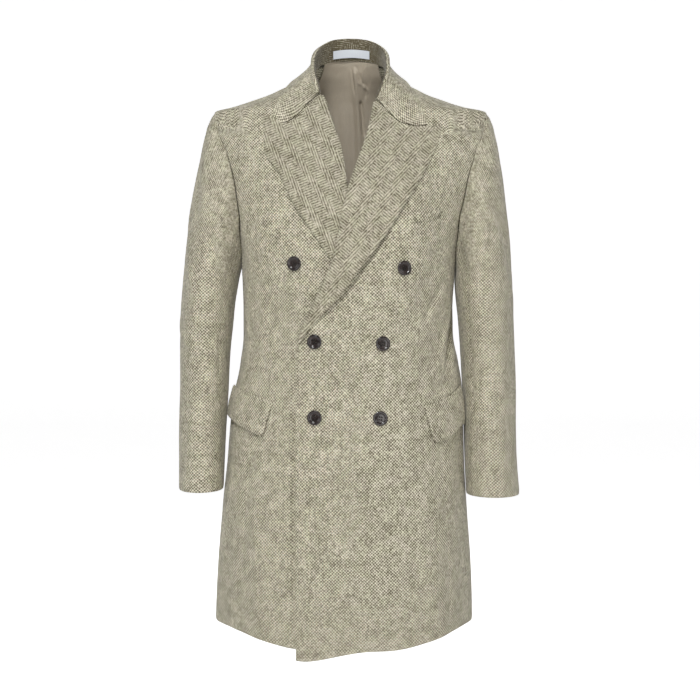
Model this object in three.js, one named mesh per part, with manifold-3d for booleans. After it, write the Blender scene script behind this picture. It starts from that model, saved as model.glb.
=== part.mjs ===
// Double-breasted herringbone overcoat, filled out as when it is worn.
// Millimetres, +X to the viewer's right, the front faces -Y, +Z up.
// The origin lies at the base of the neck, between the shoulders.
import * as THREE from "three";
import { mergeVertices } from "three/addons/utils/BufferGeometryUtils.js";
import Module from "manifold-3d";

// Cloth and seams
const CLOTH = 2.4; // wall of wool with its lining
const FACING = 2.2; // lapels and collar leaf
const FLAP = 2.4;
const SATIN = 1.1; // the back lining that shows in the neck
const SEAM_TURN = 0.15; // degrees round the body kept on each side of a seam
const RIDGE_TURN = 0.25; // the same along the shoulder seam
const MIDDLE_TURN = 0.045; // and along the centre back
const SLEEVE_SEAM_TURN = 0.45; // and round a sleeve
const NECK_SET_BACK = 2.6; // neck edge of the fronts, under the collar
const LIE = 0.9; // space between a piece and what it lies on

// Body
const MID_Y = 5; // side of the body, from front to back
const OVERLAP = 3.4; // how far the left front stands off over the right one
const OVERLAP_AT_LAPEL = 8.2; // and where the right lapel lies between them
const FRONT_EDGE = 85; // front edges from the middle

// Buttons
const BUTTON_RADIUS = 12;
const BUTTON_HEIGHT = 4.2;
const BUTTON_SEAT = 0.35; // from the front of the cloth
const BUTTON_HOLE = 1.1;
const BUTTON_HOLES_APART = 4.4;

const WOOL = 0xaaa492;
const FACING_WOOL = 0xada694;
const SATIN_COLOUR = 0x8d8270;
const HORN = 0x1b1412;
const LABEL_COLOUR = 0xe1e6eb;

// Level sections of the body: half widths to -X (left) and +X (right), and reach to front
// and back as Y; round is the power of the section's curve.
const BODY = table(
  ["z", "left", "right", "front", "back", "round"],
  [
    [60, 53, 56, -30, 76, 2.0],
    [43, 57, 60, -34, 80, 2.0],
    [27, 64, 66, -36, 86, 2.0],
    [7, 82, 83, -40, 95, 2.02],
    [-13, 117, 116, -50, 103, 2.05],
    [-33, 168, 165, -61, 109, 2.1],
    [-43, 199, 197, -66, 111, 2.12],
    [-52, 227, 232, -71, 113, 2.15],
    [-82, 231, 237, -85, 118, 2.2],
    [-120, 223, 231, -100, 122, 2.3],
    [-150, 214, 221, -112, 124, 2.35],
    [-200, 199, 204, -126, 125, 2.4],
    [-256, 188, 188, -136, 121, 2.4],
    [-320, 181, 179, -141, 112, 2.35],
    [-410, 179, 176, -141, 101, 2.3],
    [-470, 184, 185, -142, 106, 2.3],
    [-520, 194, 192, -144, 117, 2.3],
    [-570, 201, 194, -147, 127, 2.35],
    [-640, 207, 196, -151, 134, 2.35],
    [-720, 215, 200, -155, 138, 2.35],
    [-840, 221, 204, -160, 142, 2.35],
    [-960, 225, 206, -163, 145, 2.35],
  ],
);

// Armhole seam round the body, from the shoulder point (0) to under the arm (180).
// front and back are turns round the body, in degrees from its side.
const ARMHOLE = table(
  ["round", "z", "front", "back"],
  [
    [0, -52, 0, 0],
    [30, -60, 10, 10],
    [60, -86, 19.5, 20.5],
    [90, -140, 26.5, 29.5],
    [115, -200, 23, 27.5],
    [140, -262, 15.5, 18],
    [160, -296, 9, 9.5],
    [180, -312, 0, 0],
  ],
);
const SEAM_AT_ARMHOLE = 140; // where the side panel's seams leave the armhole

// Seams of the side panel, as turns in front of and behind the side of the body.
const SIDE_PANEL = table(
  ["z", "front", "back"],
  [
    [-262, 15.5, 18],
    [-330, 11, 21],
    [-380, 14, 23],
    [-430, 26, 24],
    [-480, 38, 25],
    [-520, 42, 26],
    [-700, 40, 28],
    [-950, 38, 30],
  ],
);

// Level sections of the sleeves: outer side, half width, middle and half depth.
const SLEEVES = {
  right: table(
    ["z", "outer", "half", "middle", "deep"],
    [
      [-52, 227, 14, 5, 18],
      [-66, 235, 25, 5, 32],
      [-86, 242, 36, 5, 44],
      [-131, 252, 46, 4, 58],
      [-200, 265, 52, 2, 73],
      [-262, 273.5, 51, 0, 80],
      [-312, 278.5, 47.5, -2, 82],
      [-340, 281, 46, -4, 81],
      [-400, 284.5, 44.6, -8, 77],
      [-460, 285.5, 42.2, -12, 72],
      [-520, 285, 40.6, -17, 68],
      [-600, 285.5, 38.6, -25, 62],
      [-690, 286.5, 37.4, -36, 58],
    ],
  ),
  left: table(
    ["z", "outer", "half", "middle", "deep"],
    [
      [-52, 232, 14, 5, 18],
      [-66, 240, 25, 5, 32],
      [-86, 246, 36, 5, 44],
      [-131, 255, 46, 4, 58],
      [-200, 264.5, 53, 2, 73],
      [-262, 270.5, 51, 0, 80],
      [-312, 274, 47, -2, 82],
      [-340, 276, 48.3, -4, 81],
      [-400, 278, 46.8, -8, 77],
      [-460, 279.5, 45.5, -12, 72],
      [-520, 281, 44.8, -17, 68],
      [-600, 282, 43.9, -25, 62],
      [-696, 287.5, 45, -36, 59],
    ],
  ),
};
const CUFF_Z = { right: -683, left: -691 };
const SLEEVE_SEAM = { front: -132, back: 118 }; // degrees round the sleeve from its outer side
const SLEEVE_CAP_END = -352; // rows are level below this

// Large soft folds: where they lie, how wide they are and how far they stand out.
// Side 1 is the wearer's left. A fold runs from turn at its top to turn + lean at its foot.
const FOLDS = [
  { side: 1, turn: -52, top: -560, foot: -960, lean: 4, width: 8, height: 5 },
  { side: 1, turn: -12, top: -650, foot: -960, lean: 3, width: 9, height: 6 },
  { side: 1, turn: 34, top: -470, foot: -960, lean: -3, width: 9, height: 7 },
  { side: 1, turn: 62, top: -540, foot: -960, lean: 2, width: 9, height: 5 },
  { side: 1, turn: -40, top: -300, foot: -440, lean: -26, width: 8, height: -4 },
  { side: -1, turn: -50, top: -600, foot: -960, lean: -4, width: 8, height: 4 },
  { side: -1, turn: -16, top: -640, foot: -960, lean: 4, width: 9, height: 6 },
  { side: -1, turn: 30, top: -480, foot: -960, lean: 2, width: 9, height: 7 },
  { side: -1, turn: 60, top: -520, foot: -960, lean: -2, width: 9, height: 5 },
  { side: -1, turn: -38, top: -320, foot: -460, lean: -20, width: 8, height: -3 },
];

// Roll line and outer edge of each lapel, top to bottom, seen from the front.
const ROLL = {
  left: [
    [66, 21], [58, -4], [45, -33], [34, -87], [18, -137], [-2, -198],
    [-23, -298], [-46, -354], [-71, -410], [-79, -440],
  ],
  right: [
    [-64, 21], [-55, 5], [-47, -17], [-40, -40], [-30, -72], [-15, -119], [-2, -197],
    [24, -298], [47, -354], [71, -410], [79, -440],
  ],
};
const LAPEL_TOP = { left: [44, -39], right: [-46, -27] };
const LAPEL_EDGE = {
  left: [
    [152, -78], [149, -95], [138, -124], [117, -162], [97, -195], [48, -273],
    [18, -311], [-6, -345], [-29, -373], [-58, -405],
  ],
  right: [
    [-141, -61], [-140, -80], [-139, -104], [-137, -124], [-113, -158], [-87, -212],
    [-66, -243], [-31, -295], [6, -345], [29, -373], [58, -405],
  ],
};
const LAPEL_STANDS = { left: 6.5, right: 1 }; // how far its edge stands out above the break
// Gorge: top edge of the lapel from the roll line to the peak.
const GORGE = {
  left: [[44, -39], [76, -73], [92, -79], [107, -82], [130, -80], [152, -78]],
  right: [[-46, -27], [-66, -47], [-80, -63], [-93, -71], [-107, -75], [-124, -66], [-141, -61]],
};

// Stations of the collar from the wearer's right front round the back to the left front.
// roll is the top of the fold, foot the inner lower edge and leaf the outer edge: on the
// fronts as seen x and z, elsewhere as turn from the right side through the back, and z.
const COLLAR = [
  { roll: [-49, -61, -22], foot: [-47.5, -53, -23], leaf: { x: -125, z: -67 } },
  { roll: [-54, -52, -2], foot: [-51.5, -44, -5], leaf: { x: -121, z: -48 } },
  { roll: [-58, -38, 17], foot: [-55, -29, 5], leaf: { x: -112, z: -26 } },
  { roll: [-58, -14, 36], foot: [-56.5, -9, 16], leaf: { turn: -14, z: -4 } },
  { roll: [-55, 14, 52], foot: [-54.5, 14, 24], leaf: { turn: 12, z: 6 } },
  { roll: [-46, 44, 66], foot: [-47, 40, 33], leaf: { turn: 38, z: 12 } },
  { roll: [-27, 70, 79], foot: [-28, 64, 41], leaf: { turn: 66, z: 20 } },
  { roll: [4, 80, 83], foot: [4, 73, 44], leaf: { turn: 90, z: 25 } },
  { roll: [33, 72, 79], foot: [33, 64, 41], leaf: { turn: 115, z: 20 } },
  { roll: [52, 47, 67], foot: [52, 42, 33], leaf: { turn: 142, z: 12 } },
  { roll: [61, 15, 51], foot: [60, 15, 24], leaf: { turn: 168, z: 6 } },
  { roll: [63, -13, 33], foot: [61, -9, 15], leaf: { turn: 194, z: -4 } },
  { roll: [62, -38, 12], foot: [58, -29, 2], leaf: { x: 112, z: -30 } },
  { roll: [55, -54, -12], foot: [51.5, -45, -14], leaf: { x: 122, z: -54 } },
  { roll: [46, -66, -34], foot: [43.5, -58, -35.5], leaf: { x: 128, z: -76 } },
];
const COLLAR_LIE = 4.2; // height of the leaf's edge over the shoulders and back
const LEAF_BULGE = 2; // the leaf rounds out at the back
const LEAF_HOLLOW = 8; // and curves in above the shoulders
const COLLAR_ON_FRONT = 0.075; // share of its length at each end that lies on a front
const COLLAR_TIP = { left: 0.77, right: 0.8 }; // how far along the gorge it reaches

// Pockets, seen from the front: along the top edge, with the flap's drop at each end.
const FLAPS = {
  right: {
    top: [[-125, -533], [-148, -524], [-172, -517], [-192, -511]],
    drop: [54, 56, 54, 50],
  },
  left: {
    top: [[121, -537], [137, -535], [157, -528], [172, -519], [181, -511]],
    drop: [58, 62, 63, 62],
  },
};
const FLAP_FAR_TURN = { right: 12, left: 16 }; // the flap runs on round the side to this turn
const WELT = { bottom: [[103, -240], [150, -230]], top: [[104, -220], [152, -208]] };

// Hem, lower in front and lowest at the left front's corner
const HEM_Z = -906;
const HEM_DROP = 26;
const HEM_CORNER = 18;
const HEM_LEVEL_TO = 60;
const HEM_SIDE_FROM = 225;

// Lining of the back
const LINING_HALF = 130;
const LINING_TOP = 45;
const LINING_TOP_DROP = 9;
const LINING_END = -330;
const PLEAT_X = 12;
const PLEAT_WIDTH = 9;
const PLEAT_DEPTH = 7;

const LABEL = { x: 4, y: 70, half: 31, top: 63, bottom: 49, bend: 9, drop: 4, thick: 0.8 };

// Buttons: place seen from the front. The right-hand ones sit on the left front as well.
const BUTTONS = [
  { x: -88, z: -305, front: "right" },
  { x: 86, z: -312, front: "left" },
  { x: -54, z: -431, front: "left" },
  { x: 53, z: -434, front: "left" },
  { x: -55, z: -554, front: "left" },
  { x: 50, z: -555, front: "left" },
];

// A table of rows with named columns, each column a smooth function of the first one.
function table(names, rows) {
  const keys = rows.map((row) => row[0]);
  const rising = keys[1] > keys[0];
  const sorted = rising ? rows : [...rows].reverse();
  const at = sorted.map((row) => row[0]);
  const result = {};
  names.slice(1).forEach((name, index) => {
    const value = sorted.map((row) => row[index + 1]);
    result[name] = smooth(at, value);
  });
  return result;
}

// Monotone cubic through the points, held level past both ends.
function smooth(at, value) {
  const last = at.length - 1;
  const slope = at.slice(1).map((a, i) => (value[i + 1] - value[i]) / (a - at[i]));
  const lean = at.map((a, i) => {
    if (i === 0) return slope[0];
    if (i === last) return slope[last - 1];
    if (slope[i - 1] * slope[i] <= 0) return 0;
    return (2 * slope[i - 1] * slope[i]) / (slope[i - 1] + slope[i]);
  });
  return (x) => {
    if (x <= at[0]) return value[0];
    if (x >= at[last]) return value[last];
    let i = 0;
    while (x > at[i + 1]) i++;
    const step = at[i + 1] - at[i];
    const t = (x - at[i]) / step;
    const a = value[i] + lean[i] * step * t;
    const b = value[i + 1] - lean[i + 1] * step * (1 - t);
    return THREE.MathUtils.lerp(a, b, t * t * (3 - 2 * t));
  };
}

const lerp = THREE.MathUtils.lerp;
const clamp = THREE.MathUtils.clamp;
const rad = THREE.MathUtils.degToRad;
const ease = (x, low, high) => THREE.MathUtils.smoothstep(x, low, high);
const vec = (x, y, z) => new THREE.Vector3(x, y, z);
const SIDE = { left: 1, right: -1 }; // the wearer's left is at +X

// Point of the body: turn is -90 at the front, 0 at the side and 90 at the back.
function bodyPlain(side, turn, z) {
  if (Math.abs(turn) > 90) return bodyPlain(-side, Math.sign(turn) * 180 - turn, z);
  const half = side < 0 ? BODY.left(z) : BODY.right(z);
  const reach = turn < 0 ? BODY.front(z) : BODY.back(z);
  const power = 2 / BODY.round(z);
  const x = side * half * Math.cos(rad(turn)) ** power;
  const y = MID_Y + (reach - MID_Y) * Math.abs(Math.sin(rad(turn))) ** power;
  return vec(x, y, z);
}

function bodyNormal(side, turn, z) {
  const step = 1.5;
  const along = bodyPlain(side, turn + step, z).sub(bodyPlain(side, turn - step, z));
  const up = bodyPlain(side, turn, z + step).sub(bodyPlain(side, turn, z - step));
  return along.cross(up).normalize().multiplyScalar(side);
}

// Height of the soft folds at a point of the body.
function foldHeight(side, turn, z) {
  let height = 0;
  for (const fold of FOLDS) {
    const down = clamp((fold.top - z) / (fold.top - fold.foot), 0, 1);
    const along = fold.height < 0 ? Math.sin(Math.PI * down) : ease(down, 0, 0.7);
    const away = (turn - fold.turn - fold.lean * down) / fold.width;
    if (side === fold.side) height += fold.height * along * Math.exp(-away * away);
  }
  return height;
}

function bodyAt(side, turn, z, out) {
  const lift = out + foldHeight(side, turn, z);
  return bodyPlain(side, turn, z).addScaledVector(bodyNormal(side, turn, z), lift);
}

// Turn of a point of the front that is seen from the front at x and z.
function frontTurn(side, x, z) {
  const facing = x * side < 0 ? -side : side;
  const half = facing < 0 ? BODY.left(z) : BODY.right(z);
  const share = clamp(Math.abs(x) / half, 0, 1);
  const turn = -THREE.MathUtils.radToDeg(Math.acos(share ** (BODY.round(z) / 2)));
  return facing === side ? turn : -180 - turn;
}

// Turn of a point of the back at x and z.
function backTurn(x, z) {
  const half = x < 0 ? BODY.left(z) : BODY.right(z);
  return THREE.MathUtils.radToDeg(Math.acos(clamp(Math.abs(x) / half, 0, 1) ** (BODY.round(z) / 2)));
}

// How far a front panel's outer face stands off the body.
function standOff(name, x, z) {
  if (name === "right") return 0;
  const under = 1 - ease(x, 92, 152);
  const atLapel = OVERLAP_AT_LAPEL * ease(-z, 60, 190);
  const below = OVERLAP * ease(-z, 455, 520) + OVERLAP_AT_LAPEL * (1 - ease(-z, 455, 520));
  return under * Math.min(atLapel, below);
}

const frontAt = (name, x, z, out) =>
  bodyAt(SIDE[name], frontTurn(SIDE[name], x, z), z, out + standOff(name, x, z));

// A closed wall between an outer and an inner grid of points with the same rows and columns.
function wall(outer, inner, closed = false) {
  const rows = outer.length;
  const columns = outer[0].length;
  const points = [...outer.flat(), ...inner.flat()].flatMap((p) => [p.x, p.y, p.z]);
  const faces = [];
  const id = (layer, row, column) => layer * rows * columns + row * columns + (column % columns);
  const quad = (a, b, c, d) => faces.push(a, b, c, a, c, d);
  const across = closed ? columns : columns - 1;
  for (let r = 0; r < rows - 1; r++)
    for (let c = 0; c < across; c++) {
      quad(id(0, r, c), id(0, r + 1, c), id(0, r + 1, c + 1), id(0, r, c + 1));
      quad(id(1, r, c), id(1, r, c + 1), id(1, r + 1, c + 1), id(1, r + 1, c));
    }
  for (let c = 0; c < across; c++) {
    quad(id(0, 0, c), id(0, 0, c + 1), id(1, 0, c + 1), id(1, 0, c));
    quad(id(0, rows - 1, c), id(1, rows - 1, c), id(1, rows - 1, c + 1), id(0, rows - 1, c + 1));
  }
  if (!closed)
    for (let r = 0; r < rows - 1; r++) {
      quad(id(0, r, 0), id(1, r, 0), id(1, r + 1, 0), id(0, r + 1, 0));
      quad(id(0, r, across), id(0, r + 1, across), id(1, r + 1, across), id(1, r, across));
    }
  const geometry = new THREE.BufferGeometry();
  geometry.setAttribute("position", new THREE.Float32BufferAttribute(points, 3));
  geometry.setIndex(faces);
  if (volume(points, faces) < 0) geometry.setIndex(faces.reverse());
  return geometry;
}

function volume(points, faces) {
  const at = (i) => vec(points[3 * i], points[3 * i + 1], points[3 * i + 2]);
  let sum = 0;
  for (let i = 0; i < faces.length; i += 3)
    sum += at(faces[i]).dot(at(faces[i + 1]).cross(at(faces[i + 2])));
  return sum;
}

// A wall made from a function that gives the point at a row, a column and a height.
function panel(rows, columns, thickness, at) {
  const grid = (out) =>
    Array.from({ length: rows + 1 }, (_, r) =>
      Array.from({ length: columns + 1 }, (_, c) => at(r / rows, c / columns, out)),
    );
  return wall(grid(0), grid(-thickness));
}

// Smooth path through points seen from the front, run by its length.
function path(points) {
  const curve = new THREE.CatmullRomCurve3(
    points.map(([a, b]) => vec(a, b, 0)),
    false,
    "centripetal",
  );
  return (share) => curve.getPointAt(clamp(share, 0, 1));
}

const group = new THREE.Group();

function add(name, geometry, colour, roughness = 0.9) {
  const material = new THREE.MeshStandardMaterial({ color: colour, roughness, metalness: 0 });
  const mesh = new THREE.Mesh(geometry, material);
  mesh.name = name;
  group.add(mesh);
  return mesh;
}

// Hem height, lower at the front and lowest at the left front's corner.
function hemAt(name, x) {
  const front = 1 - ease(Math.abs(x), HEM_LEVEL_TO, HEM_SIDE_FROM);
  const corner = name === "left" ? HEM_CORNER * (1 - ease(x, -86, 40)) : 0;
  return HEM_Z - HEM_DROP * front - corner;
}

// Share of a front panel's rows at the shoulder point, armhole seam, and break of the lapel.
const AT_SHOULDER = 0.16;
const AT_ARMHOLE = 0.36;
const AT_BREAK = 0.44;
const NECK_POINT_FRONT_Z = 14;
const NECK_POINT_BACK_Z = 20;
const BACK_NECK_Z = 43;
const NECK_CORNER_Z = 24;
const BACK_HEM_RISE = 6;
const NECK_ROWS = 0.12; // the back's first rows follow its neckline
const HEM_ROWS = 0.93; // and a front's rows below this share follow its hem

function frontPanel(name) {
  const side = SIDE[name];
  const roll = path(ROLL[name]);
  const foot = -side * FRONT_EDGE;
  const inner = (v) => {
    if (v < AT_BREAK) {
      const p = roll(v / AT_BREAK);
      return [p.x + side * NECK_SET_BACK * ease(p.y, -45, -25), p.y];
    }
    const share = (v - AT_BREAK) / (1 - AT_BREAK);
    const top = ROLL[name].at(-1);
    const x = lerp(top[0], foot, ease(share, 0, 0.12));
    return [x, lerp(top[1], hemAt(name, foot), share)];
  };
  const outer = (v) => {
    if (v < AT_SHOULDER) {
      const z = lerp(NECK_POINT_FRONT_Z, ARMHOLE.z(0), v / AT_SHOULDER);
      return [SEAM_TURN - RIDGE_TURN, z];
    }
    if (v < AT_ARMHOLE) {
      const round = lerp(0, SEAM_AT_ARMHOLE, (v - AT_SHOULDER) / (AT_ARMHOLE - AT_SHOULDER));
      return [-ARMHOLE.front(round), ARMHOLE.z(round)];
    }
    const down = (v - AT_ARMHOLE) / (1 - AT_ARMHOLE);
    const z = lerp(ARMHOLE.z(SEAM_AT_ARMHOLE), hemAt(name, side * 165), down);
    return [-SIDE_PANEL.front(z), z];
  };
  return panel(25, 13, CLOTH, (v, u, out) => {
    const [x, zIn] = inner(v);
    const [turnOut, zOut] = outer(v);
    const turnIn = frontTurn(side, x, zIn);
    const reach = turnOut - turnIn;
    const turn = lerp(turnIn, turnOut - SEAM_TURN, 1 - (1 - u) ** 1.15);
    const share = (turn - turnIn) / reach;
    const level = lerp(zIn, zOut, share);
    const hem = hemAt(name, bodyPlain(side, turn, level).x);
    const z = lerp(level, hem, clamp((v - HEM_ROWS) / (1 - HEM_ROWS), 0, 1));
    const seen = bodyPlain(side, turn, z);
    return bodyAt(side, turn, z, out + standOff(name, seen.x, z));
  });
}

function sidePanel(name) {
  const side = SIDE[name];
  return panel(16, 6, CLOTH, (v, u, out) => {
    const ahead = u < 0.5;
    const round = lerp(SEAM_AT_ARMHOLE, 180, ahead ? u * 2 : 2 - u * 2);
    const topTurn = ahead ? -ARMHOLE.front(round) : ARMHOLE.back(round);
    const topZ = ARMHOLE.z(round);
    const atHem = lerp(-SIDE_PANEL.front(HEM_Z), SIDE_PANEL.back(HEM_Z), u);
    const hem = hemAt(name, bodyPlain(side, Math.min(atHem, 0), HEM_Z).x);
    const z = lerp(topZ, hem, v);
    const low = -SIDE_PANEL.front(z) + SEAM_TURN;
    const high = SIDE_PANEL.back(z) - SEAM_TURN;
    const settled = ease(v, 0, 0.12);
    const turn = lerp(clamp(topTurn, low, high), lerp(low, high, u), settled);
    return bodyAt(side, turn, z, out);
  });
}

function backPanel(name) {
  const side = SIDE[name];
  return panel(22, 10, CLOTH, (v, u, out) => {
    const middle = lerp(BACK_NECK_Z, HEM_Z + BACK_HEM_RISE, v);
    let outer;
    const shoulderZ = lerp(NECK_POINT_BACK_Z, ARMHOLE.z(0), v / AT_SHOULDER);
    if (v < AT_SHOULDER) outer = [RIDGE_TURN - SEAM_TURN, shoulderZ];
    else if (v < AT_ARMHOLE) {
      const round = lerp(0, SEAM_AT_ARMHOLE, (v - AT_SHOULDER) / (AT_ARMHOLE - AT_SHOULDER));
      outer = [ARMHOLE.back(round), ARMHOLE.z(round)];
    } else {
      const z = lerp(ARMHOLE.z(SEAM_AT_ARMHOLE), HEM_Z, (v - AT_ARMHOLE) / (1 - AT_ARMHOLE));
      outer = [SIDE_PANEL.back(z), z];
    }
    const turn = lerp(90 - MIDDLE_TURN, outer[0] + SEAM_TURN, u);
    const z = lerp(middle, outer[1], u);
    const neckline = lerp(BACK_NECK_Z, NECK_CORNER_Z, ease(u, 0.1, 1)) - 2;
    return bodyAt(side, turn, lerp(neckline, z, ease(v, 0, NECK_ROWS)), out);
  });
}

// Point of a sleeve: round is 0 at the outer side, -90 in front, 90 behind, 180 inside.
function sleeveAt(name, round, v, out) {
  const side = SIDE[name];
  const ring = SLEEVES[name];
  const from = Math.abs(round);
  const topZ = ARMHOLE.z(from);
  const z = v < 0.5 ? lerp(topZ, SLEEVE_CAP_END, v * 2) : lerp(SLEEVE_CAP_END, CUFF_Z[name], v * 2 - 1);
  const ringAt = (level) =>
    vec(
      side * (ring.outer(level) - ring.half(level) * (1 - Math.cos(rad(round)))),
      ring.middle(level) + ring.deep(level) * Math.sin(rad(round)),
      level,
    );
  const turn = round < 0 ? -ARMHOLE.front(from) : ARMHOLE.back(from);
  const seam = bodyPlain(side, turn, topZ);
  const away = seam.sub(ringAt(topZ));
  const fade = 1 - ease(topZ - z, 0, 95);
  const outward = vec(
    side * Math.cos(rad(round)) * ring.deep(z),
    Math.sin(rad(round)) * ring.half(z),
    0.35 * fade * ring.half(z),
  ).normalize();
  const clear = vec(side * 1.7, 0, -0.5).multiplyScalar(fade);
  return ringAt(z)
    .addScaledVector(away, fade)
    .add(clear)
    .addScaledVector(outward, out);
}

function sleeve(name, from, to, columns) {
  return panel(16, columns, CLOTH, (v, u, out) =>
    sleeveAt(name, wrap(lerp(from + SLEEVE_SEAM_TURN, to - SLEEVE_SEAM_TURN, u)), v ** 1.15, out),
  );
}

const wrap = (angle) => (angle > 180 ? angle - 360 : angle);

// A folded sheet along a run of sections: each section is a list of points on its middle.
function sheet(sections, thickness) {
  const rows = sections.length;
  const columns = sections[0].length;
  const at = (r, c) => sections[clamp(r, 0, rows - 1)][clamp(c, 0, columns - 1)];
  const shifted = (amount) =>
    sections.map((section, r) =>
      section.map((point, c) => {
        const along = at(r + 1, c).clone().sub(at(r - 1, c));
        const across = at(r, c + 1).clone().sub(at(r, c - 1));
        return point.clone().addScaledVector(along.cross(across).normalize(), amount);
      }),
    );
  return wall(shifted(thickness / 2), shifted(-thickness / 2));
}

// Lapel: from the inner end of the fold over the roll and out to its edge.
function lapel(name) {
  const roll = path(trimmed(ROLL[name], LAPEL_TOP[name]));
  const edge = path(LAPEL_EDGE[name]);
  const gorge = path(GORGE[name]);
  const side = SIDE[name];
  const rows = 15;
  const sections = [];
  for (let r = 0; r <= rows; r++) {
    const v = r / rows;
    const start = roll(lerp(0.003, 0.985, v));
    const end = edge(v);
    const section = [];
    for (const [out, ahead] of FOLD_IN) section.push(lapelPoint(name, start, end, ahead, out));
    for (let c = 1; c <= 6; c++) {
      const u = c / 6;
      const straight = vec(lerp(start.x, end.x, u), lerp(start.y, end.y, u), 0);
      const bow = gorge(u).sub(gorge(0).lerp(gorge(1), u));
      straight.addScaledVector(bow, (1 - v) ** 6);
      if (r === 0) straight.y -= 0.5;
      const aboveBreak = Math.exp(-(((v - 0.74) / 0.17) ** 2)) * ease(1 - v, 0.02, 0.14);
      const standOut = LAPEL_STANDS[name] * aboveBreak * (0.25 + 0.75 * u);
      const lift = LIE + FACING / 2 + 2.2 * (1 - u) ** 2 + standOut;
      section.push(frontAt(name, straight.x, straight.y, lift));
    }
    sections.push(section);
  }
  return sheet(sections, FACING);
}

// The turn of the cloth at a roll line: how far out of the panel's face and how far past its edge.
const FOLD_IN = [
  [-CLOTH + 0.2, 2.0],
  [-CLOTH / 2, 2.6],
  [0.6, 2.7],
  [2.4, 1.6],
];

function lapelPoint(name, start, end, ahead, out) {
  const away = vec(start.x - end.x, 0, 0).normalize();
  return frontAt(name, start.x + away.x * ahead, start.y, out);
}

// The part of a roll line below its meeting with the collar.
function trimmed(points, top) {
  return [top, ...points.filter(([, z]) => z < top[1] - 6)];
}

function collar() {
  const edgeOf = ({ x, turn, z }) => {
    if (x === undefined) return bodyAt(SIDE.right, turn, z, COLLAR_LIE);
    return frontAt(x > 0 ? "left" : "right", x, z, LIE + FACING / 2);
  };
  const along = (key) =>
    new THREE.CatmullRomCurve3(
      COLLAR.map((station) => (key === "leaf" ? edgeOf(station.leaf) : vec(...station[key]))),
      false,
      "centripetal",
    );
  const rolls = along("roll");
  const feet = along("foot");
  const edges = along("leaf");
  const rows = 32;
  const sections = [];
  for (let r = 0; r <= rows; r++) {
    const t = r / rows;
    sections.push(collarSection(t, rolls.getPoint(t), feet.getPoint(t), edges.getPoint(t)));
  }
  return sheet(sections, FACING);
}

// Foot, up the stand, over the roll and down the leaf, at a share of the collar's length.
function collarSection(t, roll, foot, edge) {
  const rise = roll.clone().sub(foot);
  const fall = edge.clone().sub(roll);
  const across = fall.clone().addScaledVector(rise, -fall.dot(rise) / rise.lengthSq()).normalize();
  const up = rise.clone().normalize();
  const bend = 2.6;
  const bulge = lerp(LEAF_BULGE, -LEAF_HOLLOW, Math.min(1, Math.abs(roll.x) / 50) ** 2);
  const arc = [180, 135, 90, 45, 0].map((angle) =>
    roll
      .clone()
      .addScaledVector(across, bend * (1 + Math.cos(rad(angle))))
      .addScaledVector(up, bend * (Math.sin(rad(angle)) - 1)),
  );
  const middle = foot.clone().lerp(arc[0], 0.5);
  const end = Math.min(t, 1 - t);
  const onFront = 1 - ease(end, COLLAR_ON_FRONT, COLLAR_ON_FRONT + 0.09);
  const name = t < 0.5 ? "right" : "left";
  const gorge = path(GORGE[name]);
  const tip = COLLAR_TIP[name];
  const leafTop = arc.at(-1);
  const leaf = [0.2, 0.45, 0.72, 1].map((u) => {
    const point = leafTop.clone().lerp(edge, u);
    const bow = gorge(u * tip).sub(gorge(0).lerp(gorge(tip), u));
    const x = point.x + bow.x * Math.max(0, 1 - end / 0.1) ** 2;
    const z = point.z + (bow.y + 0.9) * Math.max(0, 1 - end / 0.1) ** 2;
    const free = point.clone().addScaledVector(across, bulge * Math.sin(Math.PI * u ** 0.8));
    if (onFront === 0) return free;
    const lift = LIE + FACING / 2 + 3 * (1 - u) ** 1.5 + (COLLAR_LIE - 2) * ease(end, 0.03, 0.14);
    return free.lerp(frontAt(name, x, z, lift), onFront);
  });
  return [foot, middle, ...arc, ...leaf];
}

function flap(name) {
  const { top, drop } = FLAPS[name];
  const side = SIDE[name];
  const line = path(top);
  const drops = smooth([0, 0.33, 0.67, 1], drop);
  return panel(4, 9, FLAP, (v, u, out) => {
    const p = line(Math.min(u / 0.75, 1));
    const reach = frontTurn(side, p.x, p.y);
    const turn = u <= 0.75 ? reach : lerp(reach, -FLAP_FAR_TURN[name], (u - 0.75) / 0.25);
    const corner = 9 * Math.max(0, 1 - u * 9) ** 2 + 9 * Math.max(0, 1 - (1 - u) * 9) ** 2;
    const z = p.y - v * (drops(Math.min(u / 0.75, 1)) - corner);
    const lie = LIE + FLAP + 2.2 * v ** 2 + 1.2 * Math.sin(Math.PI * v);
    const seen = bodyPlain(side, turn, z);
    return bodyAt(side, turn, z, out + lie + standOff(name, seen.x, z) + 1.6 * ease(u, 0.6, 0.9));
  });
}

function chestWelt() {
  const { bottom, top } = WELT;
  return panel(2, 5, FLAP, (v, u, out) => {
    const x = lerp(lerp(top[0][0], top[1][0], u), lerp(bottom[0][0], bottom[1][0], u), v);
    const sag = 3 * Math.sin(Math.PI * u) * (1 - v);
    const z = lerp(lerp(top[0][1], top[1][1], u), lerp(bottom[0][1], bottom[1][1], u), v) - sag;
    return frontAt("left", x, z, out + LIE + FLAP);
  });
}

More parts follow.
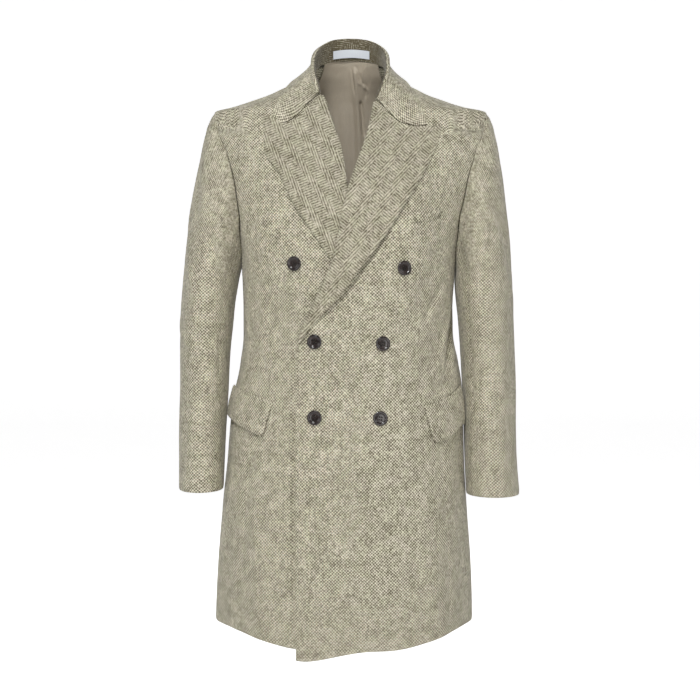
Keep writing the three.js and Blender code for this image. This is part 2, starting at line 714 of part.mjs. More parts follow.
// Back lining under the neck, with one deep pleat beside the middle.
function lining() {
  return panel(12, 12, SATIN, (v, u, out) => {
    const z = lerp(LINING_TOP, LINING_END, v ** 1.4);
    const half = Math.min(BODY.left(z), BODY.right(z));
    const reach = Math.min(LINING_HALF, half * (0.6 + 0.26 * ease(z, -20, 20)));
    const x = lerp(-1, 1, u) * reach + 4 * ease(z, -40, 30);
    const name = x > 0 ? "left" : "right";
    const level = z - LINING_TOP_DROP * (x / 50) ** 2 * ease(z, -30, 30);
    const turn = backTurn(x, level);
    const pleat = Math.exp(-(((x - PLEAT_X - 10 * v) / PLEAT_WIDTH) ** 2));
    const atShoulder = 3.5 * ease(Math.abs(x), 50, 90) * ease(level, -90, -60);
    const behindStand = 1.4 * ease(level, 5, 35);
    const open = (1 - 0.5 * v) * (1 - ease(level, 26, 38));
    const depth = CLOTH + 2.2 + atShoulder - behindStand + PLEAT_DEPTH * pleat * open;
    return bodyPlain(SIDE[name], turn, level).addScaledVector(
      bodyNormal(SIDE[name], turn, level),
      out - depth,
    );
  });
}

// Small bare label on the stand's inner face, bent with it.
function label() {
  return panel(1, 6, LABEL.thick, (v, u, out) => {
    const t = lerp(-1, 1, u);
    const y = LABEL.y - LABEL.bend * t * t + out;
    return vec(LABEL.x + LABEL.half * t, y, lerp(LABEL.top, LABEL.bottom, v) - LABEL.drop * t * t);
  });
}

const wasm = await Module();
wasm.setup();

function solid(geometry) {
  geometry.deleteAttribute("normal");
  geometry.deleteAttribute("uv");
  const merged = mergeVertices(geometry, 1e-4);
  return new wasm.Manifold(
    new wasm.Mesh({
      numProp: 3,
      vertProperties: merged.attributes.position.array,
      triVerts: new Uint32Array(merged.index.array),
    }),
  );
}

function geometryOf(body) {
  const mesh = body.getMesh();
  const geometry = new THREE.BufferGeometry();
  geometry.setAttribute("position", new THREE.BufferAttribute(mesh.vertProperties, 3));
  geometry.setIndex(new THREE.BufferAttribute(mesh.triVerts, 1));
  return geometry;
}

// A button turned about its own +Z, with a raised rim and four holes.
function buttonGeometry() {
  const r = BUTTON_RADIUS;
  const h = BUTTON_HEIGHT;
  const profile = [
    [0, 0], [r * 0.62, 0], [r * 0.93, h * 0.3], [r, h * 0.6], [r * 0.95, h * 0.88],
    [r * 0.84, h], [r * 0.7, h * 0.9], [r * 0.58, h * 0.66], [0, h * 0.62],
  ].map(([x, y]) => new THREE.Vector2(x, y));
  const blank = new THREE.LatheGeometry(profile, 14).rotateX(Math.PI / 2);
  let body = solid(blank);
  for (const dx of [-1, 1])
    for (const dy of [-1, 1]) {
      const hole = new THREE.CylinderGeometry(BUTTON_HOLE, BUTTON_HOLE, 4 * h, 6)
        .rotateX(Math.PI / 2)
        .translate((dx * BUTTON_HOLES_APART) / 2, (dy * BUTTON_HOLES_APART) / 2, 0);
      body = body.subtract(solid(hole));
    }
  return geometryOf(body);
}

function placeButton(index, { x, z, front }) {
  const mesh = add(`button_${index + 1}`, buttonGeometry(), HORN, 0.25);
  const seat = frontAt(front, x, z, 0);
  const acrossX = frontAt(front, x + 6, z, 0).sub(frontAt(front, x - 6, z, 0));
  const acrossZ = frontAt(front, x, z + 6, 0).sub(frontAt(front, x, z - 6, 0));
  const normal = acrossX.cross(acrossZ).normalize();
  mesh.quaternion.setFromUnitVectors(vec(0, 0, 1), normal);
  mesh.position.copy(seat.addScaledVector(normal, BUTTON_SEAT));
}

for (const name of ["left", "right"]) {
  add(`front_${name}`, frontPanel(name), WOOL);
  add(`side_${name}`, sidePanel(name), WOOL);
  add(`back_${name}`, backPanel(name), WOOL);
  add(`sleeve_top_${name}`, sleeve(name, SLEEVE_SEAM.front, SLEEVE_SEAM.back, 12), WOOL);
  add(`sleeve_under_${name}`, sleeve(name, SLEEVE_SEAM.back, SLEEVE_SEAM.front + 360, 7), WOOL);
  add(`lapel_${name}`, lapel(name), FACING_WOOL);
  add(`flap_${name}`, flap(name), WOOL);
}
add("collar", collar(), FACING_WOOL);
add("chest_welt", chestWelt(), WOOL);
add("lining_back", lining(), SATIN_COLOUR, 0.45);
add("label", label(), LABEL_COLOUR, 0.6);
BUTTONS.forEach((button, index) => placeButton(index, button));

export default group;
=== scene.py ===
# Look of a double-breasted herringbone overcoat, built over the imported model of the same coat.
# Forms are worked out in millimetres in the model's frame and written to the meshes in metres.
import math

import bmesh
import bpy
import numpy as np
from mathutils import Matrix, Vector


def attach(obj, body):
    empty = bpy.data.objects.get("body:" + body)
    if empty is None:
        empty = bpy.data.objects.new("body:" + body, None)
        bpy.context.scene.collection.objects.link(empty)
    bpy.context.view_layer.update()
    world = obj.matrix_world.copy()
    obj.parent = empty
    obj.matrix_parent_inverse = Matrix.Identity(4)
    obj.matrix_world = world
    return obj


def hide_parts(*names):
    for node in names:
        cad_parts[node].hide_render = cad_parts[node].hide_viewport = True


bl_info = {
    "name": "Herringbone Overcoat",
    "version": (1, 0, 0),
    "blender": (4, 5, 0),
    "location": "3D View > Sidebar > Overcoat",
    "description": "Builds the cloth, lining, stitching and buttons of a double-breasted overcoat",
    "category": "Object",
}

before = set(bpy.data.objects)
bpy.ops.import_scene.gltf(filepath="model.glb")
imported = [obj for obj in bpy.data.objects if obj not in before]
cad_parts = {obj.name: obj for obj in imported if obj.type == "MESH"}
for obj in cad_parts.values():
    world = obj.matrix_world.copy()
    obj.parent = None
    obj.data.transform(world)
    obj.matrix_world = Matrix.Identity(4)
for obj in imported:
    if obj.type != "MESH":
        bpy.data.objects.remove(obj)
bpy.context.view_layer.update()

MM = 0.001
SIDE = {"left": 1, "right": -1}  # the wearer's left is at +X
WEAVE_UV = "weave"

# Walls and clearances
CLOTH = 2.4  # wall of wool with its lining
FACING = 2.2  # lapels and collar leaf
FLAP = 2.4
SATIN = 1.1
SEAM_TURN = 0.035  # degrees round the body kept on each side of a seam
RIDGE_TURN = 0.06  # the same along the shoulder seam
MIDDLE_TURN = 0.02  # and along the centre back
SLEEVE_SEAM_TURN = 0.12  # and round a sleeve
NECK_SET_BACK = 2.6  # neck edge of the fronts, under the collar
LIE = 0.9  # space between a piece and what it lies on
MID_Y = 5  # side of the body, from front to back
OVERLAP = 3.4  # how far the left front stands off over the right one
OVERLAP_AT_LAPEL = 8.2  # and where the right lapel lies between them
FRONT_EDGE = 85  # front edges from the middle
EDGE_DROP, EDGE_REACH = 0.8, 2.5  # how a body panel or sleeve rounds off at its edges


def smooth(at, value):
    """Monotone cubic through the points, held level past both ends."""
    at = np.array(at, float)
    value = np.array(value, float)
    if at[1] < at[0]:
        at, value = at[::-1], value[::-1]
    slope = np.diff(value) / np.diff(at)
    lean = np.zeros_like(value)
    lean[0], lean[-1] = slope[0], slope[-1]
    before, after = slope[:-1], slope[1:]
    same = before * after > 0
    lean[1:-1] = np.where(same, 2 * before * after / np.where(same, before + after, 1), 0)

    def curve(x):
        x = np.clip(np.asarray(x, float), at[0], at[-1])
        i = np.clip(np.searchsorted(at, x, side="right") - 1, 0, len(at) - 2)
        step = at[i + 1] - at[i]
        t = (x - at[i]) / step
        low = value[i] + lean[i] * step * t
        high = value[i + 1] - lean[i + 1] * step * (1 - t)
        return low + (high - low) * t * t * (3 - 2 * t)

    return curve


def table(names, rows):
    """Smooth functions of the first column, by name."""
    rows = np.array(rows, float)
    return {name: smooth(rows[:, 0], rows[:, i + 1]) for i, name in enumerate(names)}


def ease(x, low, high):
    t = np.clip((np.asarray(x, float) - low) / (high - low), 0, 1)
    return t * t * (3 - 2 * t)


def lerp(a, b, t):
    return a + (b - a) * t


# Level sections of the body: half widths to -X and +X, reach to front and back, roundness
BODY = table(
    ["left", "right", "front", "back", "round"],
    [
        [60, 53, 56, -30, 76, 2.0],
        [43, 57, 60, -34, 80, 2.0],
        [27, 64, 66, -36, 86, 2.0],
        [7, 82, 83, -40, 95, 2.02],
        [-13, 117, 116, -50, 103, 2.05],
        [-33, 168, 165, -61, 109, 2.1],
        [-43, 199, 197, -66, 111, 2.12],
        [-52, 227, 232, -71, 113, 2.15],
        [-82, 231, 237, -85, 118, 2.2],
        [-120, 223, 231, -100, 122, 2.3],
        [-150, 214, 221, -112, 124, 2.35],
        [-200, 199, 204, -126, 125, 2.4],
        [-256, 188, 188, -136, 121, 2.4],
        [-320, 181, 179, -141, 112, 2.35],
        [-410, 179, 176, -141, 101, 2.3],
        [-470, 184, 185, -142, 106, 2.3],
        [-520, 194, 192, -144, 117, 2.3],
        [-570, 201, 194, -147, 127, 2.35],
        [-640, 207, 196, -151, 134, 2.35],
        [-720, 215, 200, -155, 138, 2.35],
        [-840, 221, 204, -160, 142, 2.35],
        [-960, 225, 206, -163, 145, 2.35],
    ],
)

# Armhole seam round the body, as turns from its side, from the shoulder point to under the arm
ARMHOLE = table(
    ["z", "front", "back"],
    [
        [0, -52, 0, 0],
        [30, -60, 10, 10],
        [60, -86, 19.5, 20.5],
        [90, -140, 26.5, 29.5],
        [115, -200, 23, 27.5],
        [140, -262, 15.5, 18],
        [160, -296, 9, 9.5],
        [180, -312, 0, 0],
    ],
)
SEAM_AT_ARMHOLE = 140  # where the side panel's seams leave the armhole

SIDE_PANEL = table(
    ["front", "back"],
    [
        [-262, 15.5, 18],
        [-330, 11, 21],
        [-380, 14, 23],
        [-430, 26, 24],
        [-480, 38, 25],
        [-520, 42, 26],
        [-700, 40, 28],
        [-950, 38, 30],
    ],
)

SLEEVES = {
    "right": table(
        ["outer", "half", "middle", "deep"],
        [
            [-52, 227, 14, 5, 18],
            [-66, 235, 25, 5, 32],
            [-86, 242, 36, 5, 44],
            [-131, 252, 46, 4, 58],
            [-200, 265, 52, 2, 73],
            [-262, 273.5, 51, 0, 80],
            [-312, 278.5, 47.5, -2, 82],
            [-340, 281, 46, -4, 81],
            [-400, 284.5, 44.6, -8, 77],
            [-460, 285.5, 42.2, -12, 72],
            [-520, 285, 40.6, -17, 68],
            [-600, 285.5, 38.6, -25, 62],
            [-690, 286.5, 37.4, -36, 58],
        ],
    ),
    "left": table(
        ["outer", "half", "middle", "deep"],
        [
            [-52, 232, 14, 5, 18],
            [-66, 240, 25, 5, 32],
            [-86, 246, 36, 5, 44],
            [-131, 255, 46, 4, 58],
            [-200, 264.5, 53, 2, 73],
            [-262, 270.5, 51, 0, 80],
            [-312, 274, 47, -2, 82],
            [-340, 276, 48.3, -4, 81],
            [-400, 278, 46.8, -8, 77],
            [-460, 279.5, 45.5, -12, 72],
            [-520, 281, 44.8, -17, 68],
            [-600, 282, 43.9, -25, 62],
            [-696, 287.5, 45, -36, 59],
        ],
    ),
}
CUFF_Z = {"right": -683, "left": -691}
SLEEVE_SEAM = {"front": -132, "back": 118}  # degrees round the sleeve from its outer side
SLEEVE_CAP_END = -352  # rows are level below this
SLEEVE_CLEAR = 0.35  # space to the body at the armhole

# Large soft folds of the skirt and waist: side, turn, top, foot, lean, width, height
FOLDS = [
    (1, -52, -560, -960, 4, 8, 5),
    (1, -12, -650, -960, 3, 9, 6),
    (1, 34, -470, -960, -3, 9, 7),
    (1, 62, -540, -960, 2, 9, 5),
    (1, -40, -300, -440, -26, 8, -4),
    (-1, -50, -600, -960, -4, 8, 4),
    (-1, -16, -640, -960, 4, 9, 6),
    (-1, 30, -480, -960, 2, 9, 7),
    (-1, 60, -520, -960, -2, 9, 5),
    (-1, -38, -320, -460, -20, 8, -3),
]

# Lines of the lapels as (x, z): roll line, outer edge, and gorge at the top
ROLL = {
    "left": [
        [66, 21], [58, -4], [45, -33], [34, -87], [18, -137],
        [-2, -198], [-23, -298], [-46, -354], [-71, -410], [-79, -440],
    ],
    "right": [
        [-64, 21], [-55, 5], [-47, -17], [-40, -40], [-30, -72], [-15, -119],
        [-2, -197], [24, -298], [47, -354], [71, -410], [79, -440],
    ],
}
LAPEL_TOP = {"left": [44, -39], "right": [-46, -27]}
LAPEL_EDGE = {
    "left": [
        [152, -78], [149, -95], [138, -124], [117, -162], [97, -195],
        [48, -273], [18, -311], [-6, -345], [-29, -373], [-58, -405],
    ],
    "right": [
        [-141, -61], [-140, -80], [-139, -104], [-137, -124], [-113, -158], [-87, -212],
        [-66, -243], [-31, -295], [6, -345], [29, -373], [58, -405],
    ],
}
GORGE = {
    "left": [[44, -39], [76, -73], [92, -79], [107, -82], [130, -80], [152, -78]],
    "right": [[-46, -27], [-66, -47], [-80, -63], [-93, -71], [-107, -75], [-124, -66], [-141, -61]],
}
LAPEL_RISE = 2.2  # how far a lapel stands off at its roll line
LAPEL_GRAIN = {"left": (131, 216), "right": (-106, 171)}  # along the edge's straight part
LAPEL_STANDS = {"left": 6.5, "right": 1.0}  # how far a lapel's edge stands out above the break
LAPEL_WIDE = 90  # about how far a lapel reaches from its roll line
LAPEL_PROUD = 2.0  # how far its outer edge lifts off the front
# Turn of the cloth at a roll line: height over the front and reach past its edge
FOLD_IN = [(-2.2, 2.0), (-1.2, 2.6), (0.6, 2.7), (2.4, 1.6)]

# Stations of the collar: roll, foot, and leaf edge as (x, z) on a front or (turn, z) behind
COLLAR = [
    ([-49, -61, -22], [-47.5, -53, -23], ("x", -125, -67)),
    ([-54, -52, -2], [-51.5, -44, -5], ("x", -121, -48)),
    ([-58, -38, 17], [-55, -29, 5], ("x", -112, -26)),
    ([-58, -14, 36], [-56.5, -9, 16], ("turn", -14, -4)),
    ([-55, 14, 52], [-54.5, 14, 24], ("turn", 12, 6)),
    ([-46, 44, 66], [-47, 40, 33], ("turn", 38, 12)),
    ([-27, 70, 79], [-28, 64, 41], ("turn", 66, 20)),
    ([4, 80, 83], [4, 73, 44], ("turn", 90, 25)),
    ([33, 72, 79], [33, 64, 41], ("turn", 115, 20)),
    ([52, 47, 67], [52, 42, 33], ("turn", 142, 12)),
    ([61, 15, 51], [60, 15, 24], ("turn", 168, 6)),
    ([63, -13, 33], [61, -9, 15], ("turn", 194, -4)),
    ([62, -38, 12], [58, -29, 2], ("x", 112, -30)),
    ([55, -54, -12], [51.5, -45, -14], ("x", 122, -54)),
    ([46, -66, -34], [43.5, -58, -35.5], ("x", 128, -76)),
]
COLLAR_LIE = 4.2  # height of the leaf's edge over the shoulders and back
COLLAR_BEND = 2.6  # radius of its turn at the roll
COLLAR_GRAIN_TURN = 38  # how far the leaf's weave is turned from level, in degrees
STAND_COLUMNS = 10  # columns of the collar's grid that lie on the stand and get the painted shade
LEAF_BULGE = 2  # the leaf rounds out at the back
LEAF_HOLLOW = 8  # and curves in above the shoulders
COLLAR_ON_FRONT = 0.075  # share of its length at each end that lies on a front
COLLAR_TIP = {"left": 0.77, "right": 0.8}  # how far along the gorge it reaches

# Hip pocket flaps: upper edge as (x, z), and how deep they hang along it
FLAPS = {
    "right": ([[-125, -533], [-148, -524], [-172, -517], [-192, -511]], [54, 56, 54, 50]),
    "left": ([[121, -537], [137, -535], [157, -528], [172, -519], [181, -511]], [58, 62, 63, 62]),
}
FLAP_FAR_TURN = {"right": 12, "left": 16}  # it runs on round the side to this turn
FLAP_SEEN = 0.75  # share of its width that the upper edge above covers
FLAP_SLANT = {"right": 8, "left": 12}  # its front edge leans back by this at its foot
WELT_BOTTOM = [[103, -240], [150, -230]]
WELT_TOP = [[104, -220], [152, -208]]
WELT_SAG = 10

HEM_Z = -906
HEM_DROP = 26
HEM_CORNER = 18
HEM_LEVEL_TO = 60
HEM_SIDE_FROM = 225

LINING_HALF = 130
LINING_TOP = 45
LINING_TOP_DROP = 9
LINING_END = -330
PLEAT_X = 12
PLEAT_WIDTH = 9
PLEAT_DEPTH = 7

LABEL = dict(x=4, y=70, half=31, top=63, bottom=49, bend=9, drop=4, thick=0.8)

# Buttons: x, z, and the front that each lies on
BUTTONS = [
    (-88, -305, "right"),
    (86, -312, "left"),
    (-54, -431, "left"),
    (53, -434, "left"),
    (-55, -554, "left"),
    (50, -555, "left"),
]


def body_plain(side, turn, z):
    """Point of the body: turn is -90 at the front, 0 at the side and 90 at the back."""
    turn, z = np.broadcast_arrays(np.asarray(turn, float), np.asarray(z, float))
    past = np.abs(turn) > 90
    facing = np.where(past, -side, side)
    turn = np.where(past, np.sign(turn) * 180 - turn, turn)
    half = np.where(facing < 0, BODY["left"](z), BODY["right"](z))
    reach = np.where(turn < 0, BODY["front"](z), BODY["back"](z))
    power = 2 / BODY["round"](z)
    angle = np.radians(turn)
    x = facing * half * np.maximum(np.cos(angle), 0) ** power
    y = MID_Y + (reach - MID_Y) * np.abs(np.sin(angle)) ** power
    return np.stack([x, y, z], -1)


def unit(vectors):
    return vectors / np.maximum(np.linalg.norm(vectors, axis=-1, keepdims=True), 1e-9)


def body_normal(side, turn, z):
    step = 1.5
    along = body_plain(side, turn + step, z) - body_plain(side, turn - step, z)
    up = body_plain(side, turn, z + step) - body_plain(side, turn, z - step)
    return unit(np.cross(along, up)) * side


def fold_height(side, turn, z):
    """Height of the soft folds at a point of the body."""
    height = 0.0
    for fold_side, at, top, foot, lean, width, high in FOLDS:
        if fold_side != side:
            continue
        down = np.clip((top - z) / (top - foot), 0, 1)
        along = np.sin(np.pi * down) if high < 0 else ease(down, 0, 0.7)
        away = (turn - at - lean * down) / width
        height = height + high * along * np.exp(-away * away)
    return height


def body_at(side, turn, z, out):
    lift = np.asarray(out + fold_height(side, turn, z))[..., None]
    return body_plain(side, turn, z) + body_normal(side, turn, z) * lift


def front_turn(side, x, z):
    """Turn of a point of the front that is seen from the front at x and z."""
    x, z = np.broadcast_arrays(np.asarray(x, float), np.asarray(z, float))
    facing = np.where(x * side < 0, -side, side)
    half = np.where(facing < 0, BODY["left"](z), BODY["right"](z))
    share = np.clip(np.abs(x) / half, 0, 1)
    turn = -np.degrees(np.arccos(share ** (BODY["round"](z) / 2)))
    return np.where(facing == side, turn, -180 - turn)


def back_turn(x, z):
    half = np.where(x < 0, BODY["left"](z), BODY["right"](z))
    share = np.clip(np.abs(x) / half, 0, 1)
    return np.degrees(np.arccos(share ** (BODY["round"](z) / 2)))


def stand_off(name, x, z):
    """How far a front panel's outer face stands off the body."""
    x, z = np.broadcast_arrays(np.asarray(x, float), np.asarray(z, float))
    if name == "right":
        return np.zeros_like(x)
    under = 1 - ease(x, 92, 152)
    at_lapel = OVERLAP_AT_LAPEL * ease(-z, 60, 190)
    low = ease(-z, 455, 520)
    return under * np.minimum(at_lapel, OVERLAP * low + OVERLAP_AT_LAPEL * (1 - low))


def front_at(name, x, z, out):
    side = SIDE[name]
    return body_at(side, front_turn(side, x, z), z, out + stand_off(name, x, z))


def dense(points, samples=60):
    """Centripetal curve through the points, as many samples for each span."""
    points = np.array(points, float)
    first = 2 * points[0] - points[1]
    last = 2 * points[-1] - points[-2]
    p = np.vstack([first, points, last])
    out = []
    for i in range(1, len(p) - 2):
        gap = [max(np.linalg.norm(p[i + k] - p[i + k - 1]) ** 0.5, 1e-4) for k in range(3)]
        a = ((p[i] - p[i - 1]) / gap[0] - (p[i + 1] - p[i - 1]) / (gap[0] + gap[1])
             + (p[i + 1] - p[i]) / gap[1]) * gap[1]
        b = ((p[i + 1] - p[i]) / gap[1] - (p[i + 2] - p[i]) / (gap[1] + gap[2])
             + (p[i + 2] - p[i + 1]) / gap[2]) * gap[1]
        t = np.linspace(0, 1, samples, endpoint=False)[:, None]
        c0, c1 = p[i], a
        c2 = -3 * p[i] + 3 * p[i + 1] - 2 * a - b
        c3 = 2 * p[i] - 2 * p[i + 1] + a + b
        out.append(c0 + c1 * t + c2 * t * t + c3 * t ** 3)
    return np.vstack(out + [points[-1:]])


def path(points):
    """Smooth path through the points, run by share of its length."""
    line = dense(points)
    run = np.concatenate([[0], np.cumsum(np.linalg.norm(np.diff(line, axis=0), axis=1))])
    share = run / run[-1]

    def at(t):
        t = np.clip(np.asarray(t, float), 0, 1)
        return np.stack([np.interp(t, share, line[:, k]) for k in range(line.shape[1])], -1)

    at.length = run[-1]
    return at


def stations(points):
    """Smooth path through the points, run by station."""
    line = dense(points)
    steps = np.linspace(0, 1, len(line))
    return lambda t: np.stack([np.interp(t, steps, line[:, k]) for k in range(line.shape[1])], -1)


def hem_at(name, x):
    front = 1 - ease(np.abs(x), HEM_LEVEL_TO, HEM_SIDE_FROM)
    corner = HEM_CORNER * (1 - ease(x, -86, 40)) if name == "left" else 0
    return HEM_Z - HEM_DROP * front - corner


# Flat pattern coordinates of the body, so that the weave runs level and plumb as it was cut
FLAT_Z = np.linspace(80, -1000, 541)
FLAT_TURN = np.linspace(-90, 90, 181)
FLAT_X = np.linspace(0, 250, 126)
FLAT_LEVEL_FROM = 130  # below the shoulders the weave lies level further out than this
SHOULDER_DEPTHS = (45, 115)  # the shoulders pass into the body between these depths


def flat_tables(side):
    turn, z = np.meshgrid(FLAT_TURN, FLAT_Z)
    ring = body_plain(side, turn, z)
    step = np.linalg.norm(np.diff(ring[..., :2], axis=1), axis=-1)
    around = np.concatenate([np.zeros((len(FLAT_Z), 1)), np.cumsum(step, axis=1)], axis=1)
    back_run = around[:, -1:] - around
    up = {}
    for face in (-1, 1):
        x, level = np.meshgrid(FLAT_X, FLAT_Z)
        share = np.clip(x / (BODY["left"](level) if side < 0 else BODY["right"](level)), 0, 1)
        bend = BODY["round"](level)
        reach = BODY["front" if face < 0 else "back"](level)
        y = MID_Y + (reach - MID_Y) * (1 - share ** bend) ** (1 / bend)
        rise = np.hypot(np.diff(y, axis=0), np.diff(level, axis=0))
        start = np.concatenate([np.zeros((1, len(FLAT_X))), np.cumsum(rise, axis=0)], axis=0)
        up[face] = start[-1:] - start
    return around, back_run, up


FLAT = {side: flat_tables(side) for side in (-1, 1)}


def read(grid, row, column):
    """Value of a table between its rows and columns."""
    row = np.clip(row, 0, grid.shape[0] - 1.001)
    column = np.clip(column, 0, grid.shape[1] - 1.001)
    r, c = row.astype(int), column.astype(int)
    a, b = row - r, column - c
    top = grid[r, c] * (1 - b) + grid[r, c + 1] * b
    low = grid[r + 1, c] * (1 - b) + grid[r + 1, c + 1] * b
    return top * (1 - a) + low * a


def body_flat(side, turn, z):
    """Flat pattern place, in millimetres, of a point of the body: along the level and up."""
    turn, z = np.broadcast_arrays(np.asarray(turn, float), np.asarray(z, float))
    past = np.abs(turn) > 90
    inner = np.where(past, np.sign(turn) * 180 - turn, turn)
    row = (FLAT_Z[0] - z) / (FLAT_Z[0] - FLAT_Z[-1]) * (len(FLAT_Z) - 1)
    column = (inner + 90) / 180 * (len(FLAT_TURN) - 1)
    flat = np.zeros(turn.shape + (2,))
    for half in (-1, 1):
        mine = np.where(past, -side, side) == half
        around, back_run, up = FLAT[half]
        x = np.abs(body_plain(half, inner, z)[..., 0]) / FLAT_X[-1] * (len(FLAT_X) - 1)
        front = read(around, row, column)
        back = read(back_run, row, column)
        level = np.where(turn < 0, front, back)
        below = ease(-z, *SHOULDER_DEPTHS)
        on_shoulder = 1 - below
        level = lerp(level, x * FLAT_X[-1] / (len(FLAT_X) - 1), on_shoulder) * half
        limit = lerp(FLAT_X[-1], FLAT_LEVEL_FROM, below)
        near = np.minimum(x, limit / FLAT_X[-1] * (len(FLAT_X) - 1))
        rise = {face: read(up[face], row, near) for face in (-1, 1)}
        shared = 0.5 * (1 - ease(np.abs(inner), 0, 45))
        height = np.where(turn < 0, lerp(rise[-1], rise[1], shared), lerp(rise[1], rise[-1], shared))
        flat[..., 0] = np.where(mine, level, flat[..., 0])
        flat[..., 1] = np.where(mine, height, flat[..., 1])
    return flat


def spaced(count, near=(), far=()):
    """Even shares with extra ones near either end."""
    inner = np.linspace(0, 1, count + 1)
    low = max(near) if near else 0
    high = 1 - max(far) if far else 1
    inner = inner[(inner > low + 0.4 / count) & (inner < high - 0.4 / count)]
    return np.concatenate([[0], sorted(near), inner, [1 - f for f in sorted(far, reverse=True)], [1]])


def add_object(name, data):
    obj = bpy.data.objects.new(name, data)
    bpy.context.scene.collection.objects.link(obj)
    return obj


def mesh_object(name, points, faces, uvs=None, smooth_angle=55):
    """An object at the origin from points in millimetres; uvs are in metres, one for a point."""
    mesh = bpy.data.meshes.new(name)
    places_m = [tuple(p) for p in np.asarray(points) * MM]
    mesh.from_pydata(places_m, [], [tuple(int(i) for i in f) for f in faces])
    if uvs is not None:
        layer = mesh.uv_layers.new(name=WEAVE_UV)
        loops = np.zeros(len(mesh.loops), np.int32)
        mesh.loops.foreach_get("vertex_index", loops)
        layer.data.foreach_set("uv", np.asarray(uvs, np.float32)[loops].ravel())
    mesh.shade_smooth()
    mesh.set_sharp_from_angle(angle=math.radians(smooth_angle))
    mesh.update()
    return add_object(name, mesh)


def grid_normals(points):
    along = np.gradient(points, axis=1)
    down = np.gradient(points, axis=0)
    return unit(np.cross(down, along))


def shell(name, outer, inner, flat, rounding=0.7):
    """A closed wall between two grids, with its four edges rounded."""
    rows, columns = outer.shape[:2]
    middle = (outer + inner) / 2
    rim = [(0, c) for c in range(columns)]
    rim += [(r, columns - 1) for r in range(1, rows)]
    rim += [(rows - 1, c) for c in range(columns - 2, -1, -1)]
    rim += [(r, 0) for r in range(rows - 2, 0, -1)]
    rim_r = np.array([r for r, _ in rim])
    rim_c = np.array([c for _, c in rim])
    in_r = np.clip(rim_r, 1, rows - 2)
    in_c = np.clip(rim_c, 1, columns - 2)
    push = unit(middle[rim_r, rim_c] - middle[in_r, in_c]) * rounding
    edge = middle[rim_r, rim_c] + push
    points = np.vstack([outer.reshape(-1, 3), inner.reshape(-1, 3), edge])
    size = rows * columns
    r, c = np.meshgrid(np.arange(rows - 1), np.arange(columns - 1), indexing="ij")
    a = (r * columns + c).ravel()
    b, d = a + columns, a + 1
    e = b + 1
    faces = np.vstack([np.stack([a, b, e, d], 1), np.stack([a + size, d + size, e + size, b + size], 1)])
    around = rim_r * columns + rim_c
    after = np.roll(around, -1)
    here = 2 * size + np.arange(len(rim))
    there = np.roll(here, -1)
    faces = np.vstack([
        faces,
        np.stack([around, after, there, here], 1),
        np.stack([here, there, after + size, around + size], 1),
    ])
    uv = np.vstack([flat.reshape(-1, 2), flat.reshape(-1, 2), flat.reshape(-1, 2)[around]]) * MM
    # Faces point outwards whichever way the grid runs
    tri = points[faces[:, :3]]
    rest = points[faces[:, [0, 2, 3]]]
    total = np.sum(tri[:, 0] * np.cross(tri[:, 1], tri[:, 2]))
    total += np.sum(rest[:, 0] * np.cross(rest[:, 1], rest[:, 2]))
    if total < 0:
        faces = faces[:, ::-1]
    return mesh_object(name, points, faces, uv)


def roll_in(v, u, depth, reach, sizes, edges=(1, 1, 1, 1)):
    """Drop of the outer face beside its edges: top, bottom, near and far ones, in millimetres."""
    tall, wide = sizes
    near = [v * tall, (1 - v) * tall, u * wide, (1 - u) * wide]
    drop = 0.0
    for distance, share in zip(near, edges):
        drop = drop + share * depth * np.exp(-((distance / reach) ** 2))
    return drop


# Share of a front's or back's rows at the shoulder point, armhole seam and break of the lapel
AT_SHOULDER = 0.16
AT_ARMHOLE = 0.36
AT_BREAK = 0.44
NECK_POINT_FRONT_Z = 14
NECK_POINT_BACK_Z = 20
BACK_NECK_Z = 43
NECK_CORNER_Z = 24
BACK_HEM_RISE = 6
NECK_ROWS = 0.12  # rows bend to the neckline above this share
HEM_ROWS = 0.93  # and to the hem below this one


def outer_edge(face, v, hem):
    """Turn and height of a front's or back's outer edge: shoulder, armhole, then side seam."""
    start = NECK_POINT_FRONT_Z if face == "front" else NECK_POINT_BACK_Z
    away = -1 if face == "front" else 1
    z = lerp(start, ARMHOLE["z"](0), np.clip(v / AT_SHOULDER, 0, 1))
    turn = np.full_like(v, away * (RIDGE_TURN - SEAM_TURN))
    round_ = lerp(0, SEAM_AT_ARMHOLE, np.clip((v - AT_SHOULDER) / (AT_ARMHOLE - AT_SHOULDER), 0, 1))
    at_hole = (v >= AT_SHOULDER) & (v < AT_ARMHOLE)
    z = np.where(at_hole, ARMHOLE["z"](round_), z)
    turn = np.where(at_hole, away * ARMHOLE[face](round_), turn)
    below = v >= AT_ARMHOLE
    low = lerp(ARMHOLE["z"](SEAM_AT_ARMHOLE), hem, np.clip((v - AT_ARMHOLE) / (1 - AT_ARMHOLE), 0, 1))
    z = np.where(below, low, z)
    turn = np.where(below, away * SIDE_PANEL[face](z), turn)
    return turn, z


